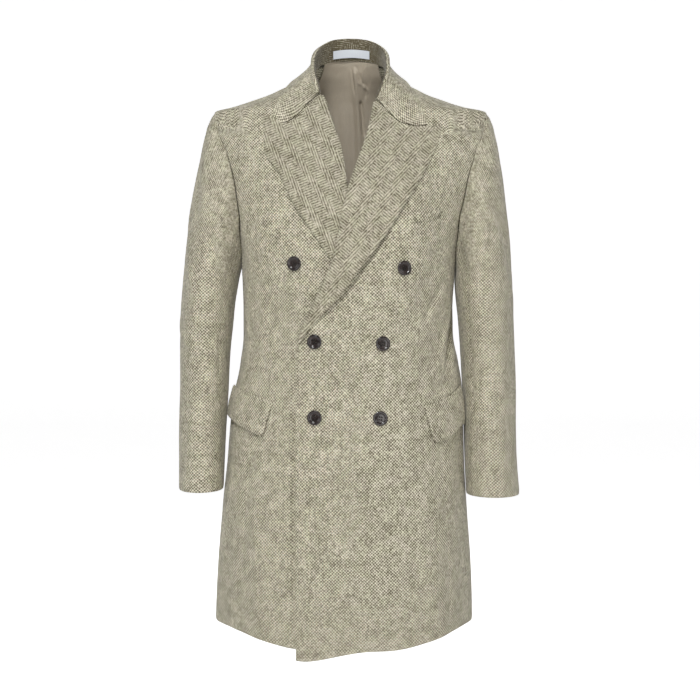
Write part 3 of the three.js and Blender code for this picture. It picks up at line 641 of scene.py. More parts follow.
def front_panel(name, rows, columns):
    side = SIDE[name]
    v = spaced(rows, (0.001, 0.003), (0.001, 0.0025, 0.005))[:, None]
    u = spaced(columns, (0.002, 0.005, 0.01), (0.002, 0.005, 0.01, 0.016))[None, :]
    foot = -side * FRONT_EDGE
    on_roll = path(ROLL[name])(v[:, 0] / AT_BREAK)
    x_roll = on_roll[:, 0] + side * NECK_SET_BACK * ease(on_roll[:, 1], -45, -25)
    share = np.clip((v[:, 0] - AT_BREAK) / (1 - AT_BREAK), 0, 1)
    top = ROLL[name][-1]
    above = v[:, 0] < AT_BREAK
    x = np.where(above, x_roll, lerp(top[0], foot, ease(share, 0, 0.12)))[:, None]
    z_in = np.where(above, on_roll[:, 1], lerp(top[1], hem_at(name, foot), share))[:, None]
    turn_out, z_out = outer_edge("front", v, hem_at(name, side * 165))
    turn_in = front_turn(side, x, z_in)
    turn = lerp(turn_in, turn_out - SEAM_TURN, 1 - (1 - u) ** 1.15)
    across = (turn - turn_in) / (turn_out - turn_in)
    level = lerp(z_in, z_out, across)
    hem = hem_at(name, body_plain(side, turn, level)[..., 0])
    z = lerp(level, hem, np.clip((v - HEM_ROWS) / (1 - HEM_ROWS), 0, 1))
    off = stand_off(name, body_plain(side, turn, z)[..., 0], z)
    flat = body_flat(side, turn, z)
    drop = roll_in(v, u, EDGE_DROP, EDGE_REACH, (950, 300), (0.3, 1, 1, 1))
    creased = worn_in(name, turn, z)
    outer = body_at(side, turn, z, off - drop) + creased
    inner = body_at(side, turn, z, off - CLOTH) + creased
    return shell(f"front_{name}_cloth", outer, inner, flat)


def side_panel(name, rows, columns):
    side = SIDE[name]
    v = spaced(rows, (0.002, 0.005), (0.002, 0.005))[:, None]
    u = spaced(columns, (0.008, 0.02, 0.04), (0.008, 0.02, 0.04))[None, :]
    ahead = u < 0.5
    round_ = lerp(SEAM_AT_ARMHOLE, 180, np.where(ahead, u * 2, 2 - u * 2))
    top_turn = np.where(ahead, -ARMHOLE["front"](round_), ARMHOLE["back"](round_))
    at_hem = lerp(-SIDE_PANEL["front"](HEM_Z), SIDE_PANEL["back"](HEM_Z), u)
    hem = hem_at(name, body_plain(side, np.minimum(at_hem, 0), HEM_Z)[..., 0])
    z = lerp(ARMHOLE["z"](round_), hem, v)
    low = -SIDE_PANEL["front"](z) + SEAM_TURN
    high = SIDE_PANEL["back"](z) - SEAM_TURN
    turn = lerp(np.clip(top_turn, low, high), lerp(low, high, u), ease(v, 0, 0.12))
    drop = roll_in(v, u, EDGE_DROP, EDGE_REACH, (620, 120), (0.6, 1, 1, 1))
    creased = worn_in(name, turn, z)
    outer = body_at(side, turn, z, -drop) + creased
    inner = body_at(side, turn, z, -CLOTH) + creased
    return shell(f"side_{name}_cloth", outer, inner, body_flat(side, turn, z))


def back_panel(name, rows, columns):
    side = SIDE[name]
    v = spaced(rows, (0.001, 0.003), (0.001, 0.0025, 0.005))[:, None]
    u = spaced(columns, (0.003, 0.007, 0.014), (0.003, 0.007, 0.014))[None, :]
    turn_out, z_out = outer_edge("back", v, HEM_Z)
    turn = lerp(90 - MIDDLE_TURN, turn_out + SEAM_TURN, u)
    z = lerp(lerp(BACK_NECK_Z, HEM_Z + BACK_HEM_RISE, v), z_out, u)
    neckline = lerp(BACK_NECK_Z, NECK_CORNER_Z, ease(u, 0.1, 1)) - 2
    z = lerp(neckline, z, ease(v, 0, NECK_ROWS))
    drop = roll_in(v, u, EDGE_DROP, EDGE_REACH, (950, 220), (0.3, 1, 1, 1))
    creased = worn_in(name, turn, z)
    outer = body_at(side, turn, z, -drop) + creased
    inner = body_at(side, turn, z, -CLOTH) + creased
    return shell(f"back_{name}_cloth", outer, inner, body_flat(side, turn, z))


# Small creases of the worn cloth: side, place across and its kind (x of a front, or turn), z,
# slant in degrees from level, half length, half width and height
CREASES = [
    ("left", "x", 146, -380, 52, 34, 9, 2.0),
    ("left", "x", 136, -372, 51, 34, 5, -4.2),
    ("left", "x", 152, -398, 38, 26, 6, 1.8),
    ("left", "turn", -15, -622, 92, 60, 7, 2.4),
    ("left", "turn", -22, -640, 88, 66, 8, -1.8),
    ("right", "x", -90, -680, 90, 270, 4.5, -5),
    ("right", "x", -91, -207, -60.5, 105, 4, -3),
    ("left", "x", 48, -272, 55.3, 125, 4.5, -3.5),
    ("left", "turn", -18, -436, 60, 62, 9, -9.5),
    ("left", "turn", -31, -436, 60, 60, 8, 3.4),
    ("left", "x", 112, -300, 65, 60, 14, 1.6),
    ("left", "x", 60, -700, 92, 150, 16, 1.4),
    ("left", "x", -20, -760, 88, 130, 18, -1.4),
    ("left", "x", 120, -780, 94, 120, 14, 1.6),
    ("right", "x", -150, -730, 88, 120, 12, 1.8),
    ("right", "x", -168, -700, 86, 110, 9, -1.6),
    ("right", "x", -140, -380, 70, 60, 12, 1.8),
    ("right", "x", -158, -360, 112, 44, 8, -1.6),
    ("right", "x", -120, -180, 60, 40, 14, 1.2),
    ("left", "x", 138, -170, 118, 46, 10, -1.6),
    ("right", "turn", 40, -420, 20, 50, 9, 2.4),
    ("left", "turn", 42, -410, -18, 52, 9, 2.4),
    ("right", "turn", 70, -380, 8, 60, 8, -2.0),
    ("left", "turn", 66, -392, -10, 58, 8, -2.0),
    ("right", "turn", 62, -140, -35, 60, 12, 1.6),
    ("left", "turn", 60, -150, 33, 64, 12, 1.6),
]


def crease(du, dv, slant, half_length, half_width, high):
    """Height of one crease at these distances, across and up, from its middle."""
    angle = math.radians(slant)
    along = du * math.cos(angle) + dv * math.sin(angle)
    across = -du * math.sin(angle) + dv * math.cos(angle)
    return high * np.exp(-((along / half_length) ** 2) - (across / half_width) ** 2)


def worn_in(name, turn, z):
    """Small creases as shifts along the body's normal."""
    side = SIDE[name]
    flat = body_flat(side, turn, z)
    height = np.zeros(flat.shape[:-1])
    for crease_side, kind, place, level, *form in CREASES:
        if crease_side != name:
            continue
        at = front_turn(side, place, level) if kind == "x" else place
        middle = body_flat(side, at, level)
        height += crease(flat[..., 0] - middle[0], flat[..., 1] - middle[1], *form)
    return body_normal(side, turn, z) * height[..., None]


def sleeve_at(name, round_, v, out):
    """Point of a sleeve: round is 0 at the outer side, -90 in front, 90 behind, 180 inside."""
    side = SIDE[name]
    ring = SLEEVES[name]
    start = np.abs(round_)
    top_z = ARMHOLE["z"](start)
    cap = lerp(top_z, SLEEVE_CAP_END, v * 2)
    z = np.where(v < 0.5, cap, lerp(SLEEVE_CAP_END, CUFF_Z[name], v * 2 - 1))
    angle = np.radians(round_)

    def ring_at(level):
        x = side * (ring["outer"](level) - ring["half"](level) * (1 - np.cos(angle)))
        y = ring["middle"](level) + ring["deep"](level) * np.sin(angle)
        return np.stack(np.broadcast_arrays(x, y, level), -1)

    turn = np.where(round_ < 0, -ARMHOLE["front"](start), ARMHOLE["back"](start))
    seam = body_plain(side, turn, top_z)
    away = seam - ring_at(top_z)
    fade = (1 - ease(top_z - z, 0, 95))[..., None]
    outward = unit(np.stack([
        side * np.cos(angle) * ring["deep"](z),
        np.sin(angle) * ring["half"](z),
        0.35 * fade[..., 0] * ring["half"](z),
    ], -1))
    clear = np.array([side * SLEEVE_CLEAR, 0, 0]) * fade
    return ring_at(z) + away * fade + clear + outward * np.asarray(out)[..., None]


# Creases of the sleeves: sleeve, round, z, slant, half length, half width, height
SLEEVE_CREASES = [
    ("right", -40, -200, 74, 60, 10, -2.2),
    ("right", -25, -250, 70, 70, 9, 1.8),
    ("right", -52, -330, 62, 40, 9, 2.0),
    ("right", -30, -420, 40, 34, 10, 2.2),
    ("right", -44, -448, 36, 30, 8, -2.0),
    ("right", -20, -560, 100, 80, 12, 1.8),
    ("right", -48, -600, 96, 60, 8, -1.6),
    ("left", -46, -250, 108, 52, 10, -2.4),
    ("left", -24, -240, 104, 60, 10, 2.0),
    ("left", -36, -340, 130, 36, 9, 2.0),
    ("left", -52, -420, 140, 30, 8, -2.0),
    ("left", -22, -520, 84, 80, 12, 1.8),
    ("left", -50, -600, 88, 60, 9, -1.6),
    ("right", 60, -380, 12, 40, 9, 2.4),
    ("right", 48, -412, 8, 36, 8, -2.2),
    ("left", 60, -386, -12, 40, 9, 2.4),
    ("left", 50, -420, -8, 36, 8, -2.2),
]


def lengths_flat(points):
    """Flat coordinates by true lengths: across from the middle column, up from the last row."""
    across = np.linalg.norm(np.diff(points, axis=1), axis=-1)
    up = np.linalg.norm(np.diff(points, axis=0), axis=-1)[::-1]
    u = np.concatenate([np.zeros((len(points), 1)), np.cumsum(across, axis=1)], axis=1)
    v = np.concatenate([np.zeros((1, points.shape[1])), np.cumsum(up, axis=0)], axis=0)[::-1]
    return np.stack([u - u[:, points.shape[1] // 2, None], v], -1)


def sleeve_panel(name, part, rows, columns):
    start, end = SLEEVE_SEAM["front"], SLEEVE_SEAM["back"]
    if part == "under":
        start, end = SLEEVE_SEAM["back"], SLEEVE_SEAM["front"] + 360
    v = spaced(rows, (0.0015, 0.004), (0.0015, 0.004, 0.008))[:, None] ** 1.15
    u = spaced(columns, (0.005, 0.012, 0.025), (0.005, 0.012, 0.025))[None, :]
    around = lerp(start + SLEEVE_SEAM_TURN, end - SLEEVE_SEAM_TURN, u) + 0 * v
    round_ = np.where(around > 180, around - 360, around)
    v = v + 0 * u
    z = sleeve_at(name, round_, v, np.zeros_like(v))[..., 2]
    ring = SLEEVES[name]
    radius = np.sqrt((ring["half"](z) ** 2 + ring["deep"](z) ** 2) / 2)
    height = np.zeros_like(v)
    for sleeve, middle_turn, middle_z, *form in SLEEVE_CREASES:
        if sleeve != name:
            continue
        away = np.radians((around - middle_turn + 180) % 360 - 180) * radius
        height += crease(away, z - middle_z, *form)
    size = (630, 160 if part == "top" else 90)
    drop = roll_in(v, u, EDGE_DROP, EDGE_REACH, size, (0.8, 1, 1, 1))
    outer = sleeve_at(name, round_, v, height - drop)
    inner = sleeve_at(name, round_, v, height - CLOTH)
    return shell(f"sleeve_{part}_{name}_cloth", outer, inner, lengths_flat(inner))


def sheet_shell(name, middle, thickness, flat, rounding=0.7):
    """A closed wall about a grid of points on the cloth's middle."""
    normals = grid_normals(middle)
    return shell(name, middle + normals * thickness / 2, middle - normals * thickness / 2, flat, rounding)


def collar_flat(middle):
    """Flat coordinates of the collar by its grid's lengths, turned to its grain."""
    across = np.linalg.norm(np.diff(middle, axis=1), axis=-1)
    down = np.linalg.norm(np.diff(middle, axis=0), axis=-1)
    u = np.concatenate([np.zeros((len(middle), 1)), np.cumsum(across, axis=1)], axis=1)
    v = np.concatenate([np.zeros((1, middle.shape[1])), np.cumsum(down, axis=0)], axis=0)
    u = u - u[:, -1:]
    v = np.broadcast_to(v.mean(axis=1, keepdims=True), u.shape)
    angle = math.radians(COLLAR_GRAIN_TURN)
    return np.stack([
        u * math.cos(angle) - v * math.sin(angle),
        u * math.sin(angle) + v * math.cos(angle),
    ], -1)


def grain_flat(middle, way):
    """Flat coordinates as seen from the front, with the cloth's length along the way."""
    way = unit(np.array(way, float))
    x, z = middle[..., 0], middle[..., 2]
    return np.stack([x * way[1] - z * way[0], x * way[0] + z * way[1]], -1)


LAPEL_GRID = (110, 34)


def lapel(name, rows, columns):
    """Middle of a lapel's cloth: its turn at the roll line, then its face."""
    start_z = LAPEL_TOP[name][1] - 6
    roll = path([LAPEL_TOP[name]] + [p for p in ROLL[name] if p[1] < start_z])
    edge = path(LAPEL_EDGE[name])
    gorge = path(GORGE[name])
    v = spaced(rows, (0.003, 0.008), (0.004,))
    start = roll(lerp(0.003, 0.985, v))
    end = edge(v)
    away = np.sign(start[:, 0] - end[:, 0])
    fold = smooth([0, 1, 2, 3], [ahead for _, ahead in FOLD_IN])
    rise = smooth([0, 1, 2, 3], [out for out, _ in FOLD_IN])
    steps = np.linspace(0, 3, 10)
    turned = [front_at(name, start[:, 0] + away * fold(s), start[:, 1], rise(s)) for s in steps]
    u = spaced(columns, (), (0.006, 0.015, 0.03))[1:][None, :]
    x = lerp(start[:, :1], end[:, :1], u)
    z = lerp(start[:, 1:], end[:, 1:], u)
    bow = gorge(u[0]) - lerp(gorge(0), gorge(1), u[0][:, None])
    bend = (1 - v[:, None]) ** 6
    x = x + bow[None, :, 0] * bend
    z = z + bow[None, :, 1] * bend
    z[0] -= 0.1
    roll_up = LAPEL_RISE * (1 - u) ** 2
    from_edge = (1 - u) * LAPEL_WIDE
    roll_in_edge = 0.7 * np.exp(-((from_edge / 3.0) ** 2))
    ridge = 0.35 * np.exp(-(((from_edge - 3.0) / 2.0) ** 2))
    above_break = np.exp(-(((v[:, None] - 0.74) / 0.17) ** 2)) * ease(1 - v[:, None], 0.02, 0.14)
    stand_out = LAPEL_STANDS[name] * above_break * (0.25 + 0.75 * u)
    ends = ease(1 - v[:, None], 0, 0.1)
    proud = LAPEL_PROUD * ease(u, 0.55, 0.95) * ends * ease(v[:, None], 0.06, 0.2)
    lift = LIE + FACING / 2 + roll_up - roll_in_edge + ridge + stand_out + proud
    face = front_at(name, x, z, lift)
    return np.concatenate([np.stack(turned, 1), face], axis=1)


def collar_middle(rows, columns):
    def edge_of(leaf):
        kind, a, z = leaf
        if kind == "turn":
            return body_at(SIDE["right"], a, z, COLLAR_LIE)
        return front_at("left" if a > 0 else "right", a, z, LIE + FACING / 2)

    rolls = stations([s[0] for s in COLLAR])
    feet = stations([s[1] for s in COLLAR])
    edges = stations([edge_of(s[2]) for s in COLLAR])
    t = spaced(rows, (0.001, 0.004), (0.001, 0.004))
    roll, foot, edge = rolls(t), feet(t), edges(t)
    rise, fall = roll - foot, edge - roll
    lean = np.sum(fall * rise, -1) / np.sum(rise * rise, -1)
    across = unit(fall - rise * lean[:, None])
    up = unit(rise)
    share = np.minimum(1, np.abs(roll[:, 0]) / 50) ** 2
    bulge = lerp(LEAF_BULGE, -LEAF_HOLLOW, share)[:, None]
    arc = []
    for angle in np.radians(np.linspace(180, 0, 9)):
        over = across * COLLAR_BEND * (1 + math.cos(angle))
        arc.append(roll + over + up * COLLAR_BEND * (math.sin(angle) - 1))
    stand = [lerp(foot, arc[0], s) for s in (0, 0.04, 0.1, 0.25, 0.4, 0.55, 0.7, 0.85)]
    end = np.minimum(t, 1 - t)
    on_front = (1 - ease(end, COLLAR_ON_FRONT, COLLAR_ON_FRONT + 0.09))[:, None]
    near = np.maximum(0, 1 - end / 0.1) ** 2
    leaf = []
    shares = spaced(columns, (), (0.01, 0.03, 0.06))[1:]
    off_end = ease(end, 0.03, 0.14)
    for s in shares:
        point = lerp(arc[-1], edge, s)
        x, z = point[:, 0].copy(), point[:, 2].copy()
        lying = np.zeros_like(point)
        free = point + across * bulge * math.sin(math.pi * s ** 0.8)
        for name, mine in (("right", t < 0.5), ("left", t >= 0.5)):
            gorge = path(GORGE[name])
            tip = COLLAR_TIP[name]
            bow = gorge(s * tip) - lerp(gorge(0), gorge(tip), s)
            x_here = x + bow[0] * near
            z_here = z + (bow[1] - 2.2) * near
            as_lapel = LAPEL_RISE * (1 - s * tip) ** 2 - 0.6
            raised = 3 * (1 - s) ** 1.5 + COLLAR_LIE - 2
            lift = LIE + FACING / 2 + lerp(as_lapel, raised, off_end)
            spot = front_at(name, x_here, z_here, lift)
            lying[mine] = spot[mine]
        leaf.append(lerp(free, lying, on_front))
    return np.stack(stand + arc + leaf, 1)


def flap_grids(name, rows, columns):
    top, drop = FLAPS[name]
    side = SIDE[name]
    line = path(top)
    drops = smooth([0, 0.33, 0.67, 1], drop)
    v = spaced(rows, (0.02, 0.05), (0.015, 0.04, 0.08))[:, None]
    u = spaced(columns, (0.006, 0.015, 0.03), (0.006, 0.015, 0.03))[None, :]
    run = np.minimum(u / FLAP_SEEN, 1)
    p = line(run)
    slant = FLAP_SLANT[name] * side * v * np.maximum(0, 1 - u / FLAP_SEEN) ** 2
    reach = front_turn(side, p[..., 0] + slant, p[..., 1])
    past = np.clip((u - FLAP_SEEN) / (1 - FLAP_SEEN), 0, 1)
    far = lerp(reach, -FLAP_FAR_TURN[name], past)
    turn = np.where(u <= FLAP_SEEN, reach, far)
    corner = 3 * np.maximum(0, 1 - u * 12) ** 2 + 6 * np.maximum(0, 1 - (1 - u) * 9) ** 2
    z = p[..., 1] - v * (drops(run) - corner)
    lie = LIE + FLAP + 3.2 * v ** 2 + 1.6 * np.sin(np.pi * v) + 1.6 * ease(u, 0.6, 0.9)
    off = lie + stand_off(name, body_plain(side, turn, z)[..., 0], z)
    drop_edge = roll_in(v, u, 0.9, 2.2, (56, 90), (1, 1, 1, 1))
    outer = body_at(side, turn, z, off - drop_edge)
    inner = body_at(side, turn, z, off - FLAP)
    return outer, inner, body_flat(side, turn, z)


def welt_grids(rows, columns):
    v = spaced(rows, (0.03, 0.08), (0.03, 0.08))[:, None]
    u = spaced(columns, (0.01, 0.03), (0.01, 0.03))[None, :]
    x, z = (
        lerp(
            lerp(WELT_TOP[0][k], WELT_TOP[1][k], u),
            lerp(WELT_BOTTOM[0][k], WELT_BOTTOM[1][k], u),
            v,
        )
        for k in (0, 1)
    )
    z = z - WELT_SAG * np.sin(np.pi * u ** 0.85) * (1 - v) ** 1.5
    fade = roll_in(v, u, 1.0, 6.0, (20, 48), (0, 1, 1, 1))
    drop = roll_in(v, u, 0.8, 1.6, (20, 48), (1, 0, 0, 0)) + 2.4 * np.clip(fade, 0, 1)
    outer = front_at("left", x, z, LIE + FLAP - drop)
    inner = front_at("left", x, z, LIE)
    side = SIDE["left"]
    return outer, inner, body_flat(side, front_turn(side, x, z), z)


# Folds of the lining: place at the top and at the foot, half width and depth
LINING_FOLDS = [
    (3, 52, 11, -8, 1.8, 3.0),
    (21, -22, 26, -80, 2.4, 9.0),
    (13, 40, 27, 4, 3.0, 2.6),
    (33, 44, 24, 8, 2.6, -2.4),
    (40, 30, 28, -18, 3.0, 2.2),
    (18, 14, 36, -4, 2.4, -2.0),
    (-30, 36, -22, 22, 2.6, 1.6),
    (8, -20, 14, -170, 4.0, 2.2),
    (-24, -30, -18, -140, 7.0, 1.8),
]


def lining_fold_depth(x, z):
    depth = np.zeros_like(x)
    for x0, z0, x1, z1, width, deep in LINING_FOLDS:
        way = np.array([x1 - x0, z1 - z0], float)
        along = ((x - x0) * way[0] + (z - z0) * way[1]) / (way @ way)
        across = ((x - x0) * way[1] - (z - z0) * way[0]) / math.sqrt(way @ way)
        fade = ease(along, -0.1, 0.15) * (1 - ease(along, 0.8, 1.1))
        depth += deep * fade * np.exp(-((across / width) ** 2))
    return depth


def lining_grids(rows, columns):
    v = np.linspace(0, 1, rows + 1)[:, None]
    u = np.linspace(-1, 1, columns + 1)[None, :]
    z = lerp(LINING_TOP, LINING_END, v ** 1.4)
    half = np.minimum(BODY["left"](z), BODY["right"](z))
    reach = np.minimum(LINING_HALF, half * (0.6 + 0.26 * ease(z, -20, 20)))
    x = u * reach + 4 * ease(z, -40, 30)
    level = z - LINING_TOP_DROP * (x / 50) ** 2 * ease(z, -30, 30)
    turn = back_turn(x, level)
    pleat = np.exp(-(((x - PLEAT_X - 10 * v) / PLEAT_WIDTH) ** 2))
    at_shoulder = 3.5 * ease(np.abs(x), 50, 90) * ease(level, -90, -60)
    behind_stand = 1.4 * ease(level, 5, 35)
    opened = (1 - 0.5 * v) * (1 - ease(level, 26, 38))
    depth = CLOTH + 2.2 + at_shoulder - behind_stand + PLEAT_DEPTH * pleat * opened
    depth = np.maximum(depth - lining_fold_depth(x, level) * (1 - ease(level, 30, 44)), CLOTH + 0.8)
    outer = np.zeros(x.shape + (3,))
    inner = np.zeros(x.shape + (3,))
    for side in (-1, 1):
        here = (x > 0) == (side > 0)
        plain = body_plain(side, turn, level)
        normal = body_normal(side, turn, level)
        outer = np.where(here[..., None], plain - normal * depth[..., None], outer)
        inner = np.where(here[..., None], plain - normal * (depth + SATIN)[..., None], inner)
    return outer, inner, np.stack([x, level], -1)


def label_grids(rows, columns):
    v = np.linspace(0, 1, rows + 1)[:, None]
    t = np.linspace(-1, 1, columns + 1)[None, :]
    x = LABEL["x"] + LABEL["half"] * t + 0 * v
    z = lerp(LABEL["top"], LABEL["bottom"], v) - LABEL["drop"] * t * t
    y = LABEL["y"] - LABEL["bend"] * t * t + 0 * v
    front = np.stack([x, y - LABEL["thick"], z], -1)
    rear = np.stack([x, y, z], -1)
    return front, rear, np.stack([x, z], -1)


# Shader building

class Tree:
    """Adds nodes to a node tree and joins their sockets."""

    def __init__(self, tree):
        self.tree = tree

    def add(self, kind, inputs=None, **settings):
        node = self.tree.nodes.new(kind)
        for key, value in settings.items():
            setattr(node, key, value)
        for key, value in (inputs or {}).items():
            self.put(node.inputs[key], value)
        return node

    def put(self, socket, value):
        if isinstance(value, bpy.types.NodeSocket):
            self.tree.links.new(value, socket)
        else:
            socket.default_value = value

    def math(self, operation, *values, clamp=False):
        node = self.add("ShaderNodeMath", operation=operation, use_clamp=clamp)
        for socket, value in zip(node.inputs, values):
            self.put(socket, value)
        return node.outputs[0]

    def plus(self, a, b, clamp=False):
        return self.math("ADD", a, b, clamp=clamp)

    def minus(self, a, b):
        return self.math("SUBTRACT", a, b)

    def times(self, a, b):
        return self.math("MULTIPLY", a, b)

    def over(self, a, b):
        return self.math("DIVIDE", a, b)

    def sway(self, value, share, base):
        """Base moved by a share of the value's distance from one half."""
        return self.math("MULTIPLY_ADD", self.minus(value, 0.5), share, base)

    def vector(self, operation, *values):
        node = self.add("ShaderNodeVectorMath", operation=operation)
        for socket, value in zip(node.inputs, values):
            self.put(socket, value)
        return node.outputs[0]

    def noise(self, vector, scale, detail=2.0, roughness=0.5):
        given = {"Vector": vector, "Scale": scale, "Detail": detail, "Roughness": roughness}
        return self.add("ShaderNodeTexNoise", given).outputs["Fac"]

    def spread(self, value, low, high, out_low=0.0, out_high=1.0):
        node = self.add("ShaderNodeMapRange", interpolation_type="SMOOTHSTEP")
        for index, item in enumerate((value, low, high, out_low, out_high)):
            self.put(node.inputs[index], item)
        return node.outputs[0]

    def blend(self, factor, a, b, kind="MIX"):
        node = self.add("ShaderNodeMix", data_type="RGBA", blend_type=kind)
        self.put(node.inputs["Factor"], factor)
        self.put(node.inputs[6], a)
        self.put(node.inputs[7], b)
        return node.outputs[2]


SOCKETS = {"vector": "NodeSocketVector", "float": "NodeSocketFloat", "colour": "NodeSocketColor"}


def shader_group(name, inputs, outputs, build):
    """A node group with named sockets: inputs are (name, kind, default)."""
    group = bpy.data.node_groups.new(name, "ShaderNodeTree")
    for label, kind, default in inputs:
        socket = group.interface.new_socket(name=label, in_out="INPUT", socket_type=SOCKETS[kind])
        if default is not None:
            socket.default_value = default
    for label, kind in outputs:
        group.interface.new_socket(name=label, in_out="OUTPUT", socket_type=SOCKETS[kind])
    tree = Tree(group)
    source = tree.add("NodeGroupInput").outputs
    target = tree.add("NodeGroupOutput").inputs
    for label, value in build(tree, source).items():
        tree.put(target[label], value)
    return group


def build_herringbone(t, given):
    """Pairs of upright columns whose ribs slant two ways, with melange yarn and a brushed nap."""
    split = t.add("ShaderNodeSeparateXYZ", {"Vector": given["Pattern"]}).outputs
    waver = t.times(t.minus(t.noise(given["Pattern"], 60.0, 2.0), 0.5), given["Waver"])
    across = t.plus(split[0], waver)
    up = t.plus(split[1], t.times(waver, 0.7))
    # Two columns, each with ribs at its own slant
    pair = t.math("FRACT", t.over(across, given["Pair Width"]))
    second = t.math("GREATER_THAN", pair, given["First Share"])
    change = t.minus(given["Second Turn"], given["First Turn"])
    turn = t.plus(given["First Turn"], t.times(second, change))
    run = t.plus(t.times(up, t.math("COSINE", turn)), t.times(across, t.math("SINE", turn)))
    phase = t.plus(t.over(run, given["Rib Pitch"]), t.times(second, 0.5))
    wave = t.math("SINE", t.times(phase, 2 * math.pi))
    # Level and upright waves multiplied give ribs that cross at 45 degrees
    step = t.over(math.sqrt(2) * math.pi, given["Rib Pitch"])
    level = t.math("SINE", t.times(up, step))
    plumb = t.math("SINE", t.times(across, step))
    check = t.times(t.times(level, plumb), 1.4)
    slanted = t.times(wave, t.minus(1.0, given["Crossing"]))
    rib = t.spread(t.plus(slanted, t.times(check, given["Crossing"])), -0.75, 0.75)
    # Valleys where the columns meet
    to_edge = t.math("MINIMUM", t.math("ABSOLUTE", t.minus(pair, given["First Share"])), pair)
    to_edge = t.math("MINIMUM", to_edge, t.minus(1.0, pair))
    valley = t.minus(1.0, t.spread(t.times(to_edge, given["Pair Width"]), 0.0, 0.0008))
    yarn = t.math("SINE", t.times(across, t.over(2 * math.pi, given["Yarn Pitch"])))
    nap = t.noise(given["Place"], given["Nap Scale"], 3.0, 0.65)
    patch = t.noise(given["Place"], 55.0, 4.0, 0.65)
    hue = t.noise(given["Place"], 70.0, 2.0, 0.5)
    tone = t.sway(rib, given["Contrast"], given["Middle"])
    tone = t.sway(nap, given["Nap"], tone)
    tone = t.sway(patch, given["Patches"], tone)
    tone = t.math("MULTIPLY_ADD", valley, -0.05, tone, clamp=True)
    light = t.blend(t.spread(hue, 0.3, 0.7), given["Light Yarn"], given["Second Light Yarn"])
    colour = t.blend(tone, given["Dark Yarn"], light)
    height = t.math("MULTIPLY_ADD", yarn, 0.06, t.times(rib, 0.5))
    height = t.math("MULTIPLY_ADD", nap, 0.5, height)
    height = t.math("MULTIPLY_ADD", valley, -0.2, height)
    rough = t.spread(rib, 0.0, 1.0, 0.95, 0.8)
    return {"Colour": colour, "Roughness": rough, "Height": height}


def herringbone_group():
    return shader_group(
        "Herringbone Wool",
        [
            ("Pattern", "vector", None),
            ("Place", "vector", None),
            ("Pair Width", "float", 0.027),
            ("First Share", "float", 0.5),
            ("First Turn", "float", 0.785),
            ("Second Turn", "float", -0.785),
            ("Rib Pitch", "float", 0.004),
            ("Crossing", "float", 0.0),
            ("Yarn Pitch", "float", 0.0009),
            ("Waver", "float", 0.0016),
            ("Contrast", "float", 1.0),
            ("Middle", "float", 0.5),
            ("Nap", "float", 1.6),
            ("Nap Scale", "float", 260.0),
            ("Patches", "float", 0.6),
            ("Light Yarn", "colour", (0.5, 0.46, 0.36, 1)),
            ("Second Light Yarn", "colour", (0.5, 0.46, 0.36, 1)),
            ("Dark Yarn", "colour", (0.3, 0.27, 0.2, 1)),
        ],
        [("Colour", "colour"), ("Roughness", "float"), ("Height", "float")],
        build_herringbone,
    )


def build_fine_weave(t, given):
    """Level and upright threads, with soft clouds and thicker places in the yarn."""
    split = t.add("ShaderNodeSeparateXYZ", {"Vector": given["Pattern"]}).outputs
    ways = []
    for axis in (0, 1):
        turn = t.over(2 * math.pi, given["Thread Pitch"])
        ways.append(t.math("SINE", t.times(split[axis], turn)))
    cross = t.math("MULTIPLY_ADD", t.times(ways[0], ways[1]), 0.5, 0.5)
    cloud = t.noise(given["Place"], 14.0, 2.0)
    slub = t.noise(t.vector("MULTIPLY", given["Place"], (1.0, 1.0, 0.06)), 420.0, 2.0)
    tone = t.plus(t.times(cross, given["Contrast"]), t.times(cloud, 0.4))
    tone = t.plus(tone, t.times(slub, 0.3), clamp=True)
    colour = t.blend(tone, given["Dark Thread"], given["Light Thread"])
    height = t.plus(t.times(cross, 0.5), t.times(slub, 0.5))
    return {"Colour": colour, "Height": height, "Cloud": cloud}


def fine_weave_group():
    return shader_group(
        "Fine Weave",
        [
            ("Pattern", "vector", None),
            ("Place", "vector", None),
            ("Thread Pitch", "float", 0.0005),
            ("Contrast", "float", 0.3),
            ("Light Thread", "colour", (0.4, 0.35, 0.27, 1)),
            ("Dark Thread", "colour", (0.22, 0.18, 0.13, 1)),
        ],
        [("Colour", "colour"), ("Height", "float"), ("Cloud", "float")],
        build_fine_weave,
    )


GROUPS = {}
MATERIALS = {}


def new_material(name):
    material = bpy.data.materials.new(name)
    material.use_nodes = True
    material.node_tree.nodes.clear()
    tree = Tree(material.node_tree)
    surface = tree.add("ShaderNodeBsdfPrincipled")
    out = tree.add("ShaderNodeOutputMaterial")
    tree.put(out.inputs["Surface"], surface.outputs[0])
    MATERIALS[name] = material
    return tree, surface


def places(tree):
    """The cloth's flat pattern coordinates, and the place in the coat."""
    pattern = tree.add("ShaderNodeUVMap", uv_map=WEAVE_UV).outputs[0]
    return pattern, tree.add("ShaderNodeTexCoord").outputs["Object"]


def bump(tree, surface, height, distance, strength=1.0):
    node = tree.add("ShaderNodeBump", {"Height": height, "Distance": distance, "Strength": strength})
    tree.put(surface.inputs["Normal"], node.outputs[0])


